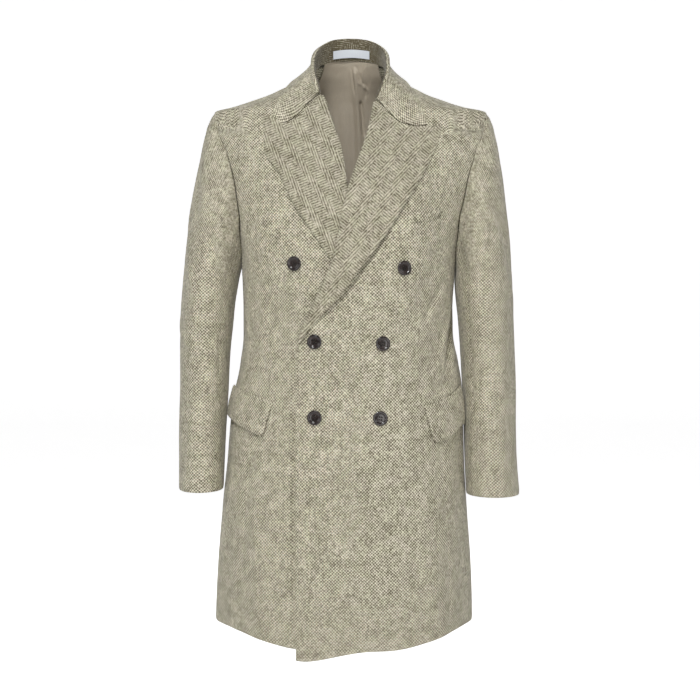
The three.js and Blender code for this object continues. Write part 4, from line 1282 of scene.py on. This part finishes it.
def wool_material(name, look, values):
    """Wool cloth; values set the weave group's inputs by name."""
    tree, surface = new_material(name)
    pattern, place = places(tree)
    wool = tree.add("ShaderNodeGroup", node_tree=GROUPS["wool"])
    tree.put(wool.inputs["Pattern"], pattern)
    tree.put(wool.inputs["Place"], place)
    red, green, blue = look.light_yarn
    base = {
        "Pair Width": look.column_width * 2,
        "Rib Pitch": look.rib_pitch,
        "Light Yarn": (red, green, blue, 1),
        "Second Light Yarn": (red * 0.93, green * 0.97, blue * 0.9, 1),
        "Dark Yarn": (*look.dark_yarn, 1),
    }
    for key, value in {**base, **values}.items():
        wool.inputs[key].default_value = value
    tree.put(surface.inputs["Base Color"], wool.outputs["Colour"])
    tree.put(surface.inputs["Roughness"], wool.outputs["Roughness"])
    bump(tree, surface, wool.outputs["Height"], 0.0006, 0.8)
    surface.inputs["Specular IOR Level"].default_value = 0.2
    surface.inputs["Sheen Weight"].default_value = look.nap_sheen
    surface.inputs["Sheen Roughness"].default_value = 0.4
    surface.inputs["Sheen Tint"].default_value = (1.0, 0.97, 0.9, 1)


def weave_material(name, light, dark, pitch, roughness, specular, sheen=0.0):
    tree, surface = new_material(name)
    pattern, place = places(tree)
    weave = tree.add("ShaderNodeGroup", node_tree=GROUPS["fine"])
    tree.put(weave.inputs["Pattern"], pattern)
    tree.put(weave.inputs["Place"], place)
    weave.inputs["Thread Pitch"].default_value = pitch
    weave.inputs["Light Thread"].default_value = (*light, 1)
    weave.inputs["Dark Thread"].default_value = (*dark, 1)
    tree.put(surface.inputs["Base Color"], weave.outputs["Colour"])
    rough = tree.spread(weave.outputs["Cloud"], 0.2, 0.8, roughness - 0.06, roughness + 0.06)
    tree.put(surface.inputs["Roughness"], rough)
    bump(tree, surface, weave.outputs["Height"], 0.00008, 0.6)
    surface.inputs["Specular IOR Level"].default_value = specular
    surface.inputs["Sheen Weight"].default_value = sheen


def horn_material(look):
    tree, surface = new_material("horn")
    place = tree.add("ShaderNodeTexCoord").outputs["Object"]
    streak = tree.noise(tree.vector("MULTIPLY", place, (1.0, 1.0, 3.5)), 130.0, 4.0, 0.6)
    cloud = tree.noise(place, 60.0, 2.0)
    mixed = tree.plus(tree.times(streak, 0.7), tree.times(cloud, 0.3))
    tone = tree.spread(mixed, 0.4, 0.75)
    dark = (*look.button_colour, 1)
    light = tuple(min(1, c * 3.2 + 0.012) for c in look.button_colour) + (1,)
    tree.put(surface.inputs["Base Color"], tree.blend(tone, dark, light))
    tree.put(surface.inputs["Roughness"], tree.spread(cloud, 0.3, 0.7, 0.16, 0.3))
    surface.inputs["Coat Weight"].default_value = 0.5
    surface.inputs["Coat Roughness"].default_value = 0.12
    bump(tree, surface, streak, 0.00006, 0.5)


def thread_material(name, light, dark):
    tree, surface = new_material(name)
    place = tree.add("ShaderNodeTexCoord").outputs["Object"]
    twist = tree.noise(place, 2600.0, 1.0)
    tree.put(surface.inputs["Base Color"], tree.blend(twist, (*dark, 1), (*light, 1)))
    tree.put(surface.inputs["Roughness"], tree.spread(twist, 0.3, 0.7, 0.5, 0.75))
    bump(tree, surface, twist, 0.0001, 0.6)


def paint(obj, name):
    obj.data.materials.clear()
    obj.data.materials.append(MATERIALS[name])


def paint_columns(piece, size, upto, name):
    """Gives a shell's first columns another material."""
    piece.data.materials.append(MATERIALS[name])
    across = size[1] - 1
    count = (size[0] - 1) * across
    for index in range(2 * count):
        if index % across < upto:
            piece.data.polygons[index].material_index = 1


def finish_cloth(piece, material, replaced):
    """Material, body, and the solids it stands for."""
    paint(piece, material)
    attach(piece, "root")
    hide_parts(*replaced)


# Stage, in metres
FLOOR_Z = -1.25
FLOOR_FRONT, WALL_Y = -8.0, 8.0
FLOOR_HALF = 9.0
SWEEP_RADIUS = 1.2  # the floor curves up into the wall
SWEEP_STEPS = 12
WALL_TOP = 6.0
EYE, AIM = (0.0017, -2.8, -0.3), (0.0017, 0, -0.452)
LENS, SENSOR = 84.83, 36
GLOW_SEEN = 0.8  # the floor's glow and the world's light to the camera only
WORLD_SEEN, WORLD_LIGHT = 0.84, 0.16

# Soft lights: name, place, aim, width and height, power in watts
LIGHTS = [
    ("key", (-0.45, -2.6, 2.0), (0, 0, -0.4), (0.7, 0.7), 62),
    ("fill", (0.3, -3.3, -0.4), (0, 0, -0.5), (1.6, 1.6), 21),
    ("left", (-2.5, -1.7, 0.4), (0, 0, -0.4), (0.8, 1.2), 13),
    ("right", (2.5, -1.7, 0.4), (0, 0, -0.4), (0.8, 1.2), 15),
    ("back", (0.0, 2.6, 1.0), (0, 0, -0.4), (2.4, 1.4), 48),
]


def make_floor():
    """Pale floor that curves up into a back wall."""
    profile = [(FLOOR_FRONT, FLOOR_Z)]
    for i in range(SWEEP_STEPS + 1):
        angle = math.radians(-90 + 90 * i / SWEEP_STEPS)
        y = WALL_Y - SWEEP_RADIUS + SWEEP_RADIUS * math.cos(angle)
        profile.append((y, FLOOR_Z + SWEEP_RADIUS + SWEEP_RADIUS * math.sin(angle)))
    profile.append((WALL_Y, WALL_TOP))
    points, faces = [], []
    for y, z in profile:
        points += [(-FLOOR_HALF, y, z), (FLOOR_HALF, y, z)]
    for i in range(len(profile) - 1):
        faces.append((2 * i, 2 * i + 1, 2 * i + 3, 2 * i + 2))
    mesh = bpy.data.meshes.new("studio_floor")
    mesh.from_pydata(points, [], faces)
    mesh.shade_smooth()
    floor = add_object("studio_floor", mesh)
    tree, surface = new_material("studio_floor")
    place = tree.add("ShaderNodeTexCoord").outputs["Object"]
    pale = tree.blend(tree.noise(place, 2.0), (0.88, 0.88, 0.88, 1), (0.9, 0.9, 0.9, 1))
    tree.put(surface.inputs["Base Color"], pale)
    surface.inputs["Roughness"].default_value = 0.9
    surface.inputs["Emission Color"].default_value = (1, 1, 1, 1)
    seen = tree.add("ShaderNodeLightPath").outputs["Is Camera Ray"]
    tree.put(surface.inputs["Emission Strength"], tree.times(seen, GLOW_SEEN))
    paint(floor, "studio_floor")


def aim_at(obj, place, aim):
    obj.location = place
    obj.rotation_euler = (Vector(aim) - Vector(place)).to_track_quat("-Z", "Y").to_euler()


def make_stage():
    """The floor, the world, soft lights and the camera."""
    scene = bpy.context.scene
    make_floor()
    world = bpy.data.worlds.new("studio")
    world.use_nodes = True
    sky = Tree(world.node_tree)
    ground = world.node_tree.nodes["Background"]
    ground.inputs[0].default_value = (1, 1, 1, 1)
    seen = sky.add("ShaderNodeLightPath").outputs["Is Camera Ray"]
    sky.put(ground.inputs[1], sky.math("MULTIPLY_ADD", seen, WORLD_SEEN, WORLD_LIGHT))
    scene.world = world
    scene.view_settings.view_transform = "Standard"
    for name, place, aim, size, power in LIGHTS:
        light = bpy.data.lights.new(name, "AREA")
        light.shape = "RECTANGLE"
        light.size, light.size_y = size
        light.energy = power
        aim_at(add_object(name, light), place, aim)
    data = bpy.data.cameras.new("camera")
    data.lens = LENS
    data.sensor_width = SENSOR
    data.clip_end = 30
    camera = add_object("camera", data)
    aim_at(camera, EYE, AIM)
    scene.camera = camera


# Buttons

BUTTON_RADIUS = 12
BUTTON_HEIGHT = 4.2
BUTTON_SEAT = 0.35
HOLES_APART = 4.4
HOLE_RADIUS = 1.05
BUTTON_SEGMENTS = 64
HOLE_SEGMENTS = 20
STRAND_RADIUS = 0.34
STRAND_APART = 0.32  # each of a pair of strands from the holes' line
STRAND_STEPS = 8


def button_frame(x, z, front):
    """Seat of a button and the turn that lays it on the cloth."""
    seat = front_at(front, x, z, 0)
    across = front_at(front, x + 6, z, 0) - front_at(front, x - 6, z, 0)
    up = front_at(front, x, z + 6, 0) - front_at(front, x, z - 6, 0)
    normal = Vector(unit(np.cross(across, up)))
    turn = Vector((0, 0, 1)).rotation_difference(normal)
    return Matrix.Translation(Vector(seat) + normal * BUTTON_SEAT) @ turn.to_matrix().to_4x4()


def lathe(profile, segments):
    """Closed turned body about +Z from (radius, height) pairs that start and end on the axis."""
    points, faces = [], []
    rings = []
    for radius, height in profile:
        if radius == 0:
            rings.append([len(points)])
            points.append((0, 0, height))
            continue
        rings.append(list(range(len(points), len(points) + segments)))
        for i in range(segments):
            angle = 2 * math.pi * i / segments
            points.append((radius * math.cos(angle), radius * math.sin(angle), height))
    for low, high in zip(rings, rings[1:]):
        for i in range(segments):
            j = (i + 1) % segments
            if len(low) == 1:
                faces.append((low[0], high[j], high[i]))
            elif len(high) == 1:
                faces.append((low[i], low[j], high[0]))
            else:
                faces.append((low[i], low[j], high[j], high[i]))
    return points, faces


def tube(line, radius, sides=8):
    """Closed round tube along a line of points, with domed ends."""
    line = [Vector(p) for p in line]
    points, faces = [], []
    reference = Vector((0.0, 0.3, 1.0)).normalized()
    for i, p in enumerate(line):
        along = (line[min(i + 1, len(line) - 1)] - line[max(i - 1, 0)]).normalized()
        a = along.cross(reference)
        a = a.normalized() if a.length > 1e-4 else Vector((1, 0, 0))
        b = along.cross(a)
        size = radius * (0.55 if i in (0, len(line) - 1) else 1)
        for k in range(sides):
            angle = 2 * math.pi * k / sides
            points.append(p + (a * math.cos(angle) + b * math.sin(angle)) * size)
    for i in range(len(line) - 1):
        for k in range(sides):
            j = (k + 1) % sides
            faces.append((i * sides + k, i * sides + j, (i + 1) * sides + j, (i + 1) * sides + k))
    faces.append(tuple(range(sides - 1, -1, -1)))
    faces.append(tuple((len(line) - 1) * sides + k for k in range(sides)))
    return points, faces


def join(parts):
    points, faces = [], []
    for more_points, more_faces in parts:
        start = len(points)
        points += [tuple(p) for p in more_points]
        faces += [tuple(i + start for i in face) for face in more_faces]
    return points, faces


def evaluated_mesh(obj):
    """The object's mesh with its modifiers applied."""
    bpy.context.view_layer.update()
    return bpy.data.meshes.new_from_object(obj.evaluated_get(bpy.context.evaluated_depsgraph_get()))


def facing_out(obj):
    work = bmesh.new()
    work.from_mesh(obj.data)
    bmesh.ops.recalc_face_normals(work, faces=work.faces)
    work.to_mesh(obj.data)
    work.free()
    return obj


def placed(place, points):
    return [place @ Vector(p) for p in points]


def turned_button(index, place):
    """A button with a rounded rim, a dished middle and four holes."""
    r, h = BUTTON_RADIUS, BUTTON_HEIGHT
    profile = [
        (0, 0), (r * 0.6, 0), (r * 0.8, h * 0.1), (r * 0.93, h * 0.3), (r * 0.99, h * 0.5),
        (r, h * 0.64), (r * 0.985, h * 0.78), (r * 0.945, h * 0.91), (r * 0.88, h * 0.985),
        (r * 0.82, h), (r * 0.76, h * 0.975), (r * 0.7, h * 0.9), (r * 0.65, h * 0.78),
        (r * 0.6, h * 0.69), (r * 0.54, h * 0.65), (r * 0.3, h * 0.64), (0, h * 0.64),
    ]
    points, faces = lathe(profile, BUTTON_SEGMENTS)
    blank = mesh_object(f"button_{index}_turned", placed(place, points), faces, smooth_angle=40)
    half = HOLES_APART / 2
    drills = []
    for dx in (-half, half):
        for dy in (-half, half):
            ring = [(HOLE_RADIUS, -2), (HOLE_RADIUS, h * 0.56), (HOLE_RADIUS * 1.35, h * 0.7)]
            points, faces = lathe([(0, -2)] + ring + [(0, h * 0.7)], HOLE_SEGMENTS)
            drills.append(([(p[0] + dx, p[1] + dy, p[2]) for p in points], faces))
    points, faces = join(drills)
    drill = mesh_object("button_drill", placed(place, points), faces)
    facing_out(blank)
    facing_out(drill)
    cut = blank.modifiers.new("holes", "BOOLEAN")
    cut.operation = "DIFFERENCE"
    cut.solver = "EXACT"
    cut.object = drill
    done = evaluated_mesh(blank)
    blank.modifiers.clear()
    blank.data = done
    done.set_sharp_from_angle(angle=math.radians(40))
    bpy.data.objects.remove(drill)
    paint(blank, "horn")
    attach(blank, "root")
    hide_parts(f"button_{index}")


def button_thread(index, place):
    """Two pairs of strands that bow from hole to hole."""
    half = HOLES_APART / 2
    reach = half + 0.25
    top = BUTTON_HEIGHT * 0.66
    strands = []
    for row in (-half, half):
        for shift in (-STRAND_APART, STRAND_APART):
            line = []
            for k in range(STRAND_STEPS + 1):
                t = k / STRAND_STEPS
                rise = math.sin(math.pi * t) ** 0.5 * 0.75 - 0.7
                line.append((lerp(-reach, reach, t), row + shift, top + rise))
            strands.append(tube(line, STRAND_RADIUS))
    points, faces = join(strands)
    name = f"button_{index}_thread"
    thread = facing_out(mesh_object(name, placed(place, points), faces))
    paint(thread, "button_thread")
    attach(thread, "root")


# Hand stitches along the edges

STITCH_INSET = 6.0  # from the lapel's edge


def stitch_tree():
    """Short stitches set along a line: spacing, length and thickness are inputs."""
    tree = bpy.data.node_groups.new("Edge Stitches", "GeometryNodeTree")
    face = tree.interface
    face.new_socket(name="Geometry", in_out="INPUT", socket_type="NodeSocketGeometry")
    for name, value in (("Spacing", 0.005), ("Stitch Length", 0.002), ("Thread Radius", 0.0002)):
        socket = face.new_socket(name=name, in_out="INPUT", socket_type="NodeSocketFloat")
        socket.default_value = value
    face.new_socket(name="Thread", in_out="INPUT", socket_type="NodeSocketMaterial")
    face.new_socket(name="Geometry", in_out="OUTPUT", socket_type="NodeSocketGeometry")
    t = Tree(tree)
    source = t.add("NodeGroupInput").outputs
    line = t.add("GeometryNodeMeshToCurve", {"Mesh": source["Geometry"]}).outputs[0]
    even = {"Curve": line, "Length": source["Spacing"]}
    line = t.add("GeometryNodeResampleCurve", even, mode="LENGTH").outputs[0]
    ball = t.add("GeometryNodeMeshUVSphere", {"Segments": 6, "Rings": 5, "Radius": 1.0}).outputs[0]
    tangent = t.add("GeometryNodeInputTangent").outputs[0]
    turn = t.add("FunctionNodeAlignEulerToVector", {"Vector": tangent}, axis="Z").outputs[0]
    half = t.times(source["Stitch Length"], 0.5)
    thick = source["Thread Radius"]
    size = t.add("ShaderNodeCombineXYZ", {"X": thick, "Y": thick, "Z": half}).outputs[0]
    each = {"Points": line, "Instance": ball, "Rotation": turn, "Scale": size}
    marks = t.add("GeometryNodeInstanceOnPoints", each).outputs[0]
    real = t.add("GeometryNodeRealizeInstances", {"Geometry": marks}).outputs[0]
    done = t.add("GeometryNodeSetMaterial", {"Geometry": real, "Material": source["Thread"]}).outputs[0]
    t.add("NodeGroupOutput", {"Geometry": done})
    return tree


def stitch_line(name, line, look):
    """One piece of stitches along a line of points in millimetres."""
    points = [tuple(np.asarray(p) * MM) for p in line]
    edges = [(i, i + 1) for i in range(len(line) - 1)]
    mesh = bpy.data.meshes.new(name + "_line")
    mesh.from_pydata(points, edges, [])
    carrier = add_object(name + "_line", mesh)
    if "stitches" not in GROUPS:
        GROUPS["stitches"] = stitch_tree()
    modifier = carrier.modifiers.new("stitches", "NODES")
    modifier.node_group = GROUPS["stitches"]
    sockets = modifier.node_group.interface.items_tree
    ids = {item.name: item.identifier for item in sockets if item.in_out == "INPUT"}
    modifier[ids["Spacing"]] = look.stitch_spacing
    modifier[ids["Stitch Length"]] = look.stitch_length
    modifier[ids["Thread Radius"]] = look.stitch_radius
    modifier[ids["Thread"]] = MATERIALS["edge_thread"]
    made = evaluated_mesh(carrier)
    made.name = name
    bpy.data.objects.remove(carrier)
    piece = add_object(name, made)
    made.shade_smooth()
    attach(piece, "root")


# Settings that a user would change

class OvercoatLook(bpy.types.PropertyGroup):
    """Cloth, thread and button settings"""

    column_width: bpy.props.FloatProperty(
        name="Column Width",
        description="Width of one herringbone column",
        default=0.0135, min=0.004, max=0.04, unit="LENGTH",
    )
    rib_pitch: bpy.props.FloatProperty(
        name="Rib Pitch",
        description="Height from one slanting rib to the next",
        default=0.0036, min=0.001, max=0.02, unit="LENGTH",
    )
    light_yarn: bpy.props.FloatVectorProperty(
        name="Light Yarn",
        description="Colour of the cloth's light yarn",
        subtype="COLOR", default=(0.85, 0.79, 0.64), min=0, max=1,
    )
    dark_yarn: bpy.props.FloatVectorProperty(
        name="Dark Yarn",
        description="Colour of the cloth's dark yarn",
        subtype="COLOR", default=(0.11, 0.092, 0.056), min=0, max=1,
    )
    satin_colour: bpy.props.FloatVectorProperty(
        name="Satin",
        description="Colour of the lining",
        subtype="COLOR", default=(0.62, 0.54, 0.42), min=0, max=1,
    )
    button_colour: bpy.props.FloatVectorProperty(
        name="Button",
        description="Colour of the polished buttons",
        subtype="COLOR", default=(0.012, 0.007, 0.006), min=0, max=1,
    )
    nap_sheen: bpy.props.FloatProperty(
        name="Nap Sheen",
        description="Strength of the brushed nap's sheen",
        default=0.3, min=0, max=1, subtype="FACTOR",
    )
    stitch_spacing: bpy.props.FloatProperty(
        name="Stitch Spacing",
        description="Distance between edge stitches",
        default=0.0055, min=0.001, max=0.02, unit="LENGTH",
    )
    stitch_length: bpy.props.FloatProperty(
        name="Stitch Length",
        description="Length of one edge stitch",
        default=0.0024, min=0.0005, max=0.01, unit="LENGTH",
    )
    stitch_radius: bpy.props.FloatProperty(
        name="Thread Radius",
        description="Half the thickness of the edge thread",
        default=0.00022, min=0.0001, max=0.001, unit="LENGTH",
    )


def look():
    return bpy.context.scene.overcoat_look


# What each wool sets in the weave group
BODY_WEAVE = {"Crossing": 0.85, "Contrast": 0.74, "Nap": 1.8, "Patches": 0.7, "Middle": 0.44}
FACING_WEAVE = {
    "First Turn": 0.18,
    "Second Turn": -1.35,
    "First Share": 0.56,
    "Rib Pitch": 0.004,
    "Waver": 0.0008,
    "Contrast": 0.36,
    "Middle": 0.36,
    "Nap": 1.3,
}
STAND_PAINTED_SHADE_WEAVE = {"Middle": -0.12, "Contrast": 0.6}  # painted shade: a darker copy of the wool for the stand, standing in for the shade it lies in


class OVERCOAT_OT_materials(bpy.types.Operator):
    """Make the wool, satin, label, horn and thread materials"""
    bl_idname = "overcoat.materials"
    bl_label = "Materials"

    def execute(self, context):
        GROUPS["wool"] = herringbone_group()
        GROUPS["fine"] = fine_weave_group()
        chosen = look()
        wool_material("wool", chosen, BODY_WEAVE)
        wool_material("facing_wool", chosen, FACING_WEAVE)
        # Darker copy of the wool, as painted shade on the collar stand
        wool_material("stand_wool_painted_shade", chosen, STAND_PAINTED_SHADE_WEAVE)
        satin = tuple(chosen.satin_colour)
        weave_material("satin", satin, tuple(c * 0.62 for c in satin), 0.0005, 0.42, 0.5, 0.15)
        weave_material("label", (0.78, 0.82, 0.87), (0.6, 0.63, 0.68), 0.0007, 0.6, 0.4)
        horn_material(chosen)
        thread_material("edge_thread", (0.36, 0.33, 0.25), (0.2, 0.18, 0.13))
        thread_material("button_thread", (0.014, 0.01, 0.009), (0.006, 0.005, 0.004))
        return {"FINISHED"}


class OVERCOAT_OT_body(bpy.types.Operator):
    """Make the fronts, side panels and backs"""
    bl_idname = "overcoat.body"
    bl_label = "Body"

    def execute(self, context):
        for name in ("left", "right"):
            finish_cloth(front_panel(name, 220, 130), "wool", [f"front_{name}"])
            finish_cloth(side_panel(name, 100, 24), "wool", [f"side_{name}"])
            finish_cloth(back_panel(name, 130, 50), "wool", [f"back_{name}"])
        return {"FINISHED"}


class OVERCOAT_OT_sleeves(bpy.types.Operator):
    """Make the two-piece sleeves"""
    bl_idname = "overcoat.sleeves"
    bl_label = "Sleeves"

    def execute(self, context):
        for name in ("left", "right"):
            for part, columns in (("top", 60), ("under", 32)):
                piece = sleeve_panel(name, part, 130, columns)
                finish_cloth(piece, "wool", [f"sleeve_{part}_{name}"])
        return {"FINISHED"}


class OVERCOAT_OT_collar(bpy.types.Operator):
    """Make the collar and the peak lapels"""
    bl_idname = "overcoat.collar"
    bl_label = "Collar and Lapels"

    def execute(self, context):
        middle = collar_middle(150, 22)
        piece = sheet_shell("collar_cloth", middle, FACING, collar_flat(middle), 0.5)
        finish_cloth(piece, "wool", ["collar"])
        # The stand's columns get the darker wool copy as painted shade
        paint_columns(piece, middle.shape[:2], STAND_COLUMNS, "stand_wool_painted_shade")
        for name in ("left", "right"):
            middle = lapel(name, *LAPEL_GRID)
            flat = grain_flat(middle, LAPEL_GRAIN[name])
            piece = sheet_shell(f"lapel_{name}_cloth", middle, FACING, flat, 0.5)
            finish_cloth(piece, "facing_wool", [f"lapel_{name}"])
        return {"FINISHED"}


class OVERCOAT_OT_pockets(bpy.types.Operator):
    """Make the hip pocket flaps and the chest welt"""
    bl_idname = "overcoat.pockets"
    bl_label = "Pockets"

    def execute(self, context):
        for name in ("left", "right"):
            outer, inner, flat = flap_grids(name, 28, 40)
            piece = shell(f"flap_{name}_cloth", outer, inner, flat, 0.6)
            finish_cloth(piece, "wool", [f"flap_{name}"])
        outer, inner, flat = welt_grids(12, 24)
        piece = shell("chest_welt_cloth", outer, inner, flat, 0.5)
        finish_cloth(piece, "wool", ["chest_welt"])
        return {"FINISHED"}


class OVERCOAT_OT_inside(bpy.types.Operator):
    """Make the back lining and the bare label"""
    bl_idname = "overcoat.inside"
    bl_label = "Lining and Label"

    def execute(self, context):
        outer, inner, flat = lining_grids(150, 160)
        piece = shell("lining_cloth", outer, inner, flat, 0.2)
        finish_cloth(piece, "satin", ["lining_back"])
        front, rear, flat = label_grids(8, 36)
        piece = shell("bare_label", front, rear, flat, 0.15)
        finish_cloth(piece, "label", ["label"])
        return {"FINISHED"}


class OVERCOAT_OT_buttons(bpy.types.Operator):
    """Make the six turned buttons and their threads"""
    bl_idname = "overcoat.buttons"
    bl_label = "Buttons"

    def execute(self, context):
        for index, (x, z, front) in enumerate(BUTTONS, 1):
            place = button_frame(x, z, front)
            turned_button(index, place)
            button_thread(index, place)
        return {"FINISHED"}


class OVERCOAT_OT_stitches(bpy.types.Operator):
    """Set the small stitches along the lapels' edges"""
    bl_idname = "overcoat.stitches"
    bl_label = "Edge Stitches"

    def execute(self, context):
        for name in ("left", "right"):
            middle = lapel(name, *LAPEL_GRID)
            inner = []
            for row in middle[4:-4]:
                step = np.linalg.norm(np.diff(row, axis=0), axis=-1)
                run = np.concatenate([[0], np.cumsum(step)])
                at = run[-1] - STITCH_INSET
                inner.append([np.interp(at, run, row[:, k]) for k in range(3)])
            normal = grid_normals(middle)[4:-4, -6]
            side = np.sign(np.mean(normal[:, 1]))
            line = np.array(inner) - normal * side * (FACING / 2 + 0.05)
            stitch_line(f"lapel_{name}_stitches", line, look())
        return {"FINISHED"}


class OVERCOAT_OT_stage(bpy.types.Operator):
    """Set the floor, the lights and the camera"""
    bl_idname = "overcoat.stage"
    bl_label = "Stage"

    def execute(self, context):
        make_stage()
        return {"FINISHED"}


STEPS = ("materials", "body", "sleeves", "collar", "pockets", "inside", "buttons", "stitches", "stage")


class OVERCOAT_PT_panel(bpy.types.Panel):
    bl_idname = "OVERCOAT_PT_panel"
    bl_label = "Overcoat"
    bl_space_type = "VIEW_3D"
    bl_region_type = "UI"
    bl_category = "Overcoat"

    def draw(self, context):
        for name in OvercoatLook.__annotations__:
            self.layout.prop(context.scene.overcoat_look, name)
        for step in STEPS:
            self.layout.operator(f"overcoat.{step}")


CLASSES = (
    OvercoatLook,
    OVERCOAT_OT_materials,
    OVERCOAT_OT_body,
    OVERCOAT_OT_sleeves,
    OVERCOAT_OT_collar,
    OVERCOAT_OT_pockets,
    OVERCOAT_OT_inside,
    OVERCOAT_OT_buttons,
    OVERCOAT_OT_stitches,
    OVERCOAT_OT_stage,
    OVERCOAT_PT_panel,
)


def register():
    for item in CLASSES:
        bpy.utils.register_class(item)
    bpy.types.Scene.overcoat_look = bpy.props.PointerProperty(type=OvercoatLook)


def unregister():
    del bpy.types.Scene.overcoat_look
    for item in reversed(CLASSES):
        bpy.utils.unregister_class(item)


def main():
    register()
    for step in STEPS:
        getattr(bpy.ops.overcoat, step)()


if __name__ == "__main__":
    main()
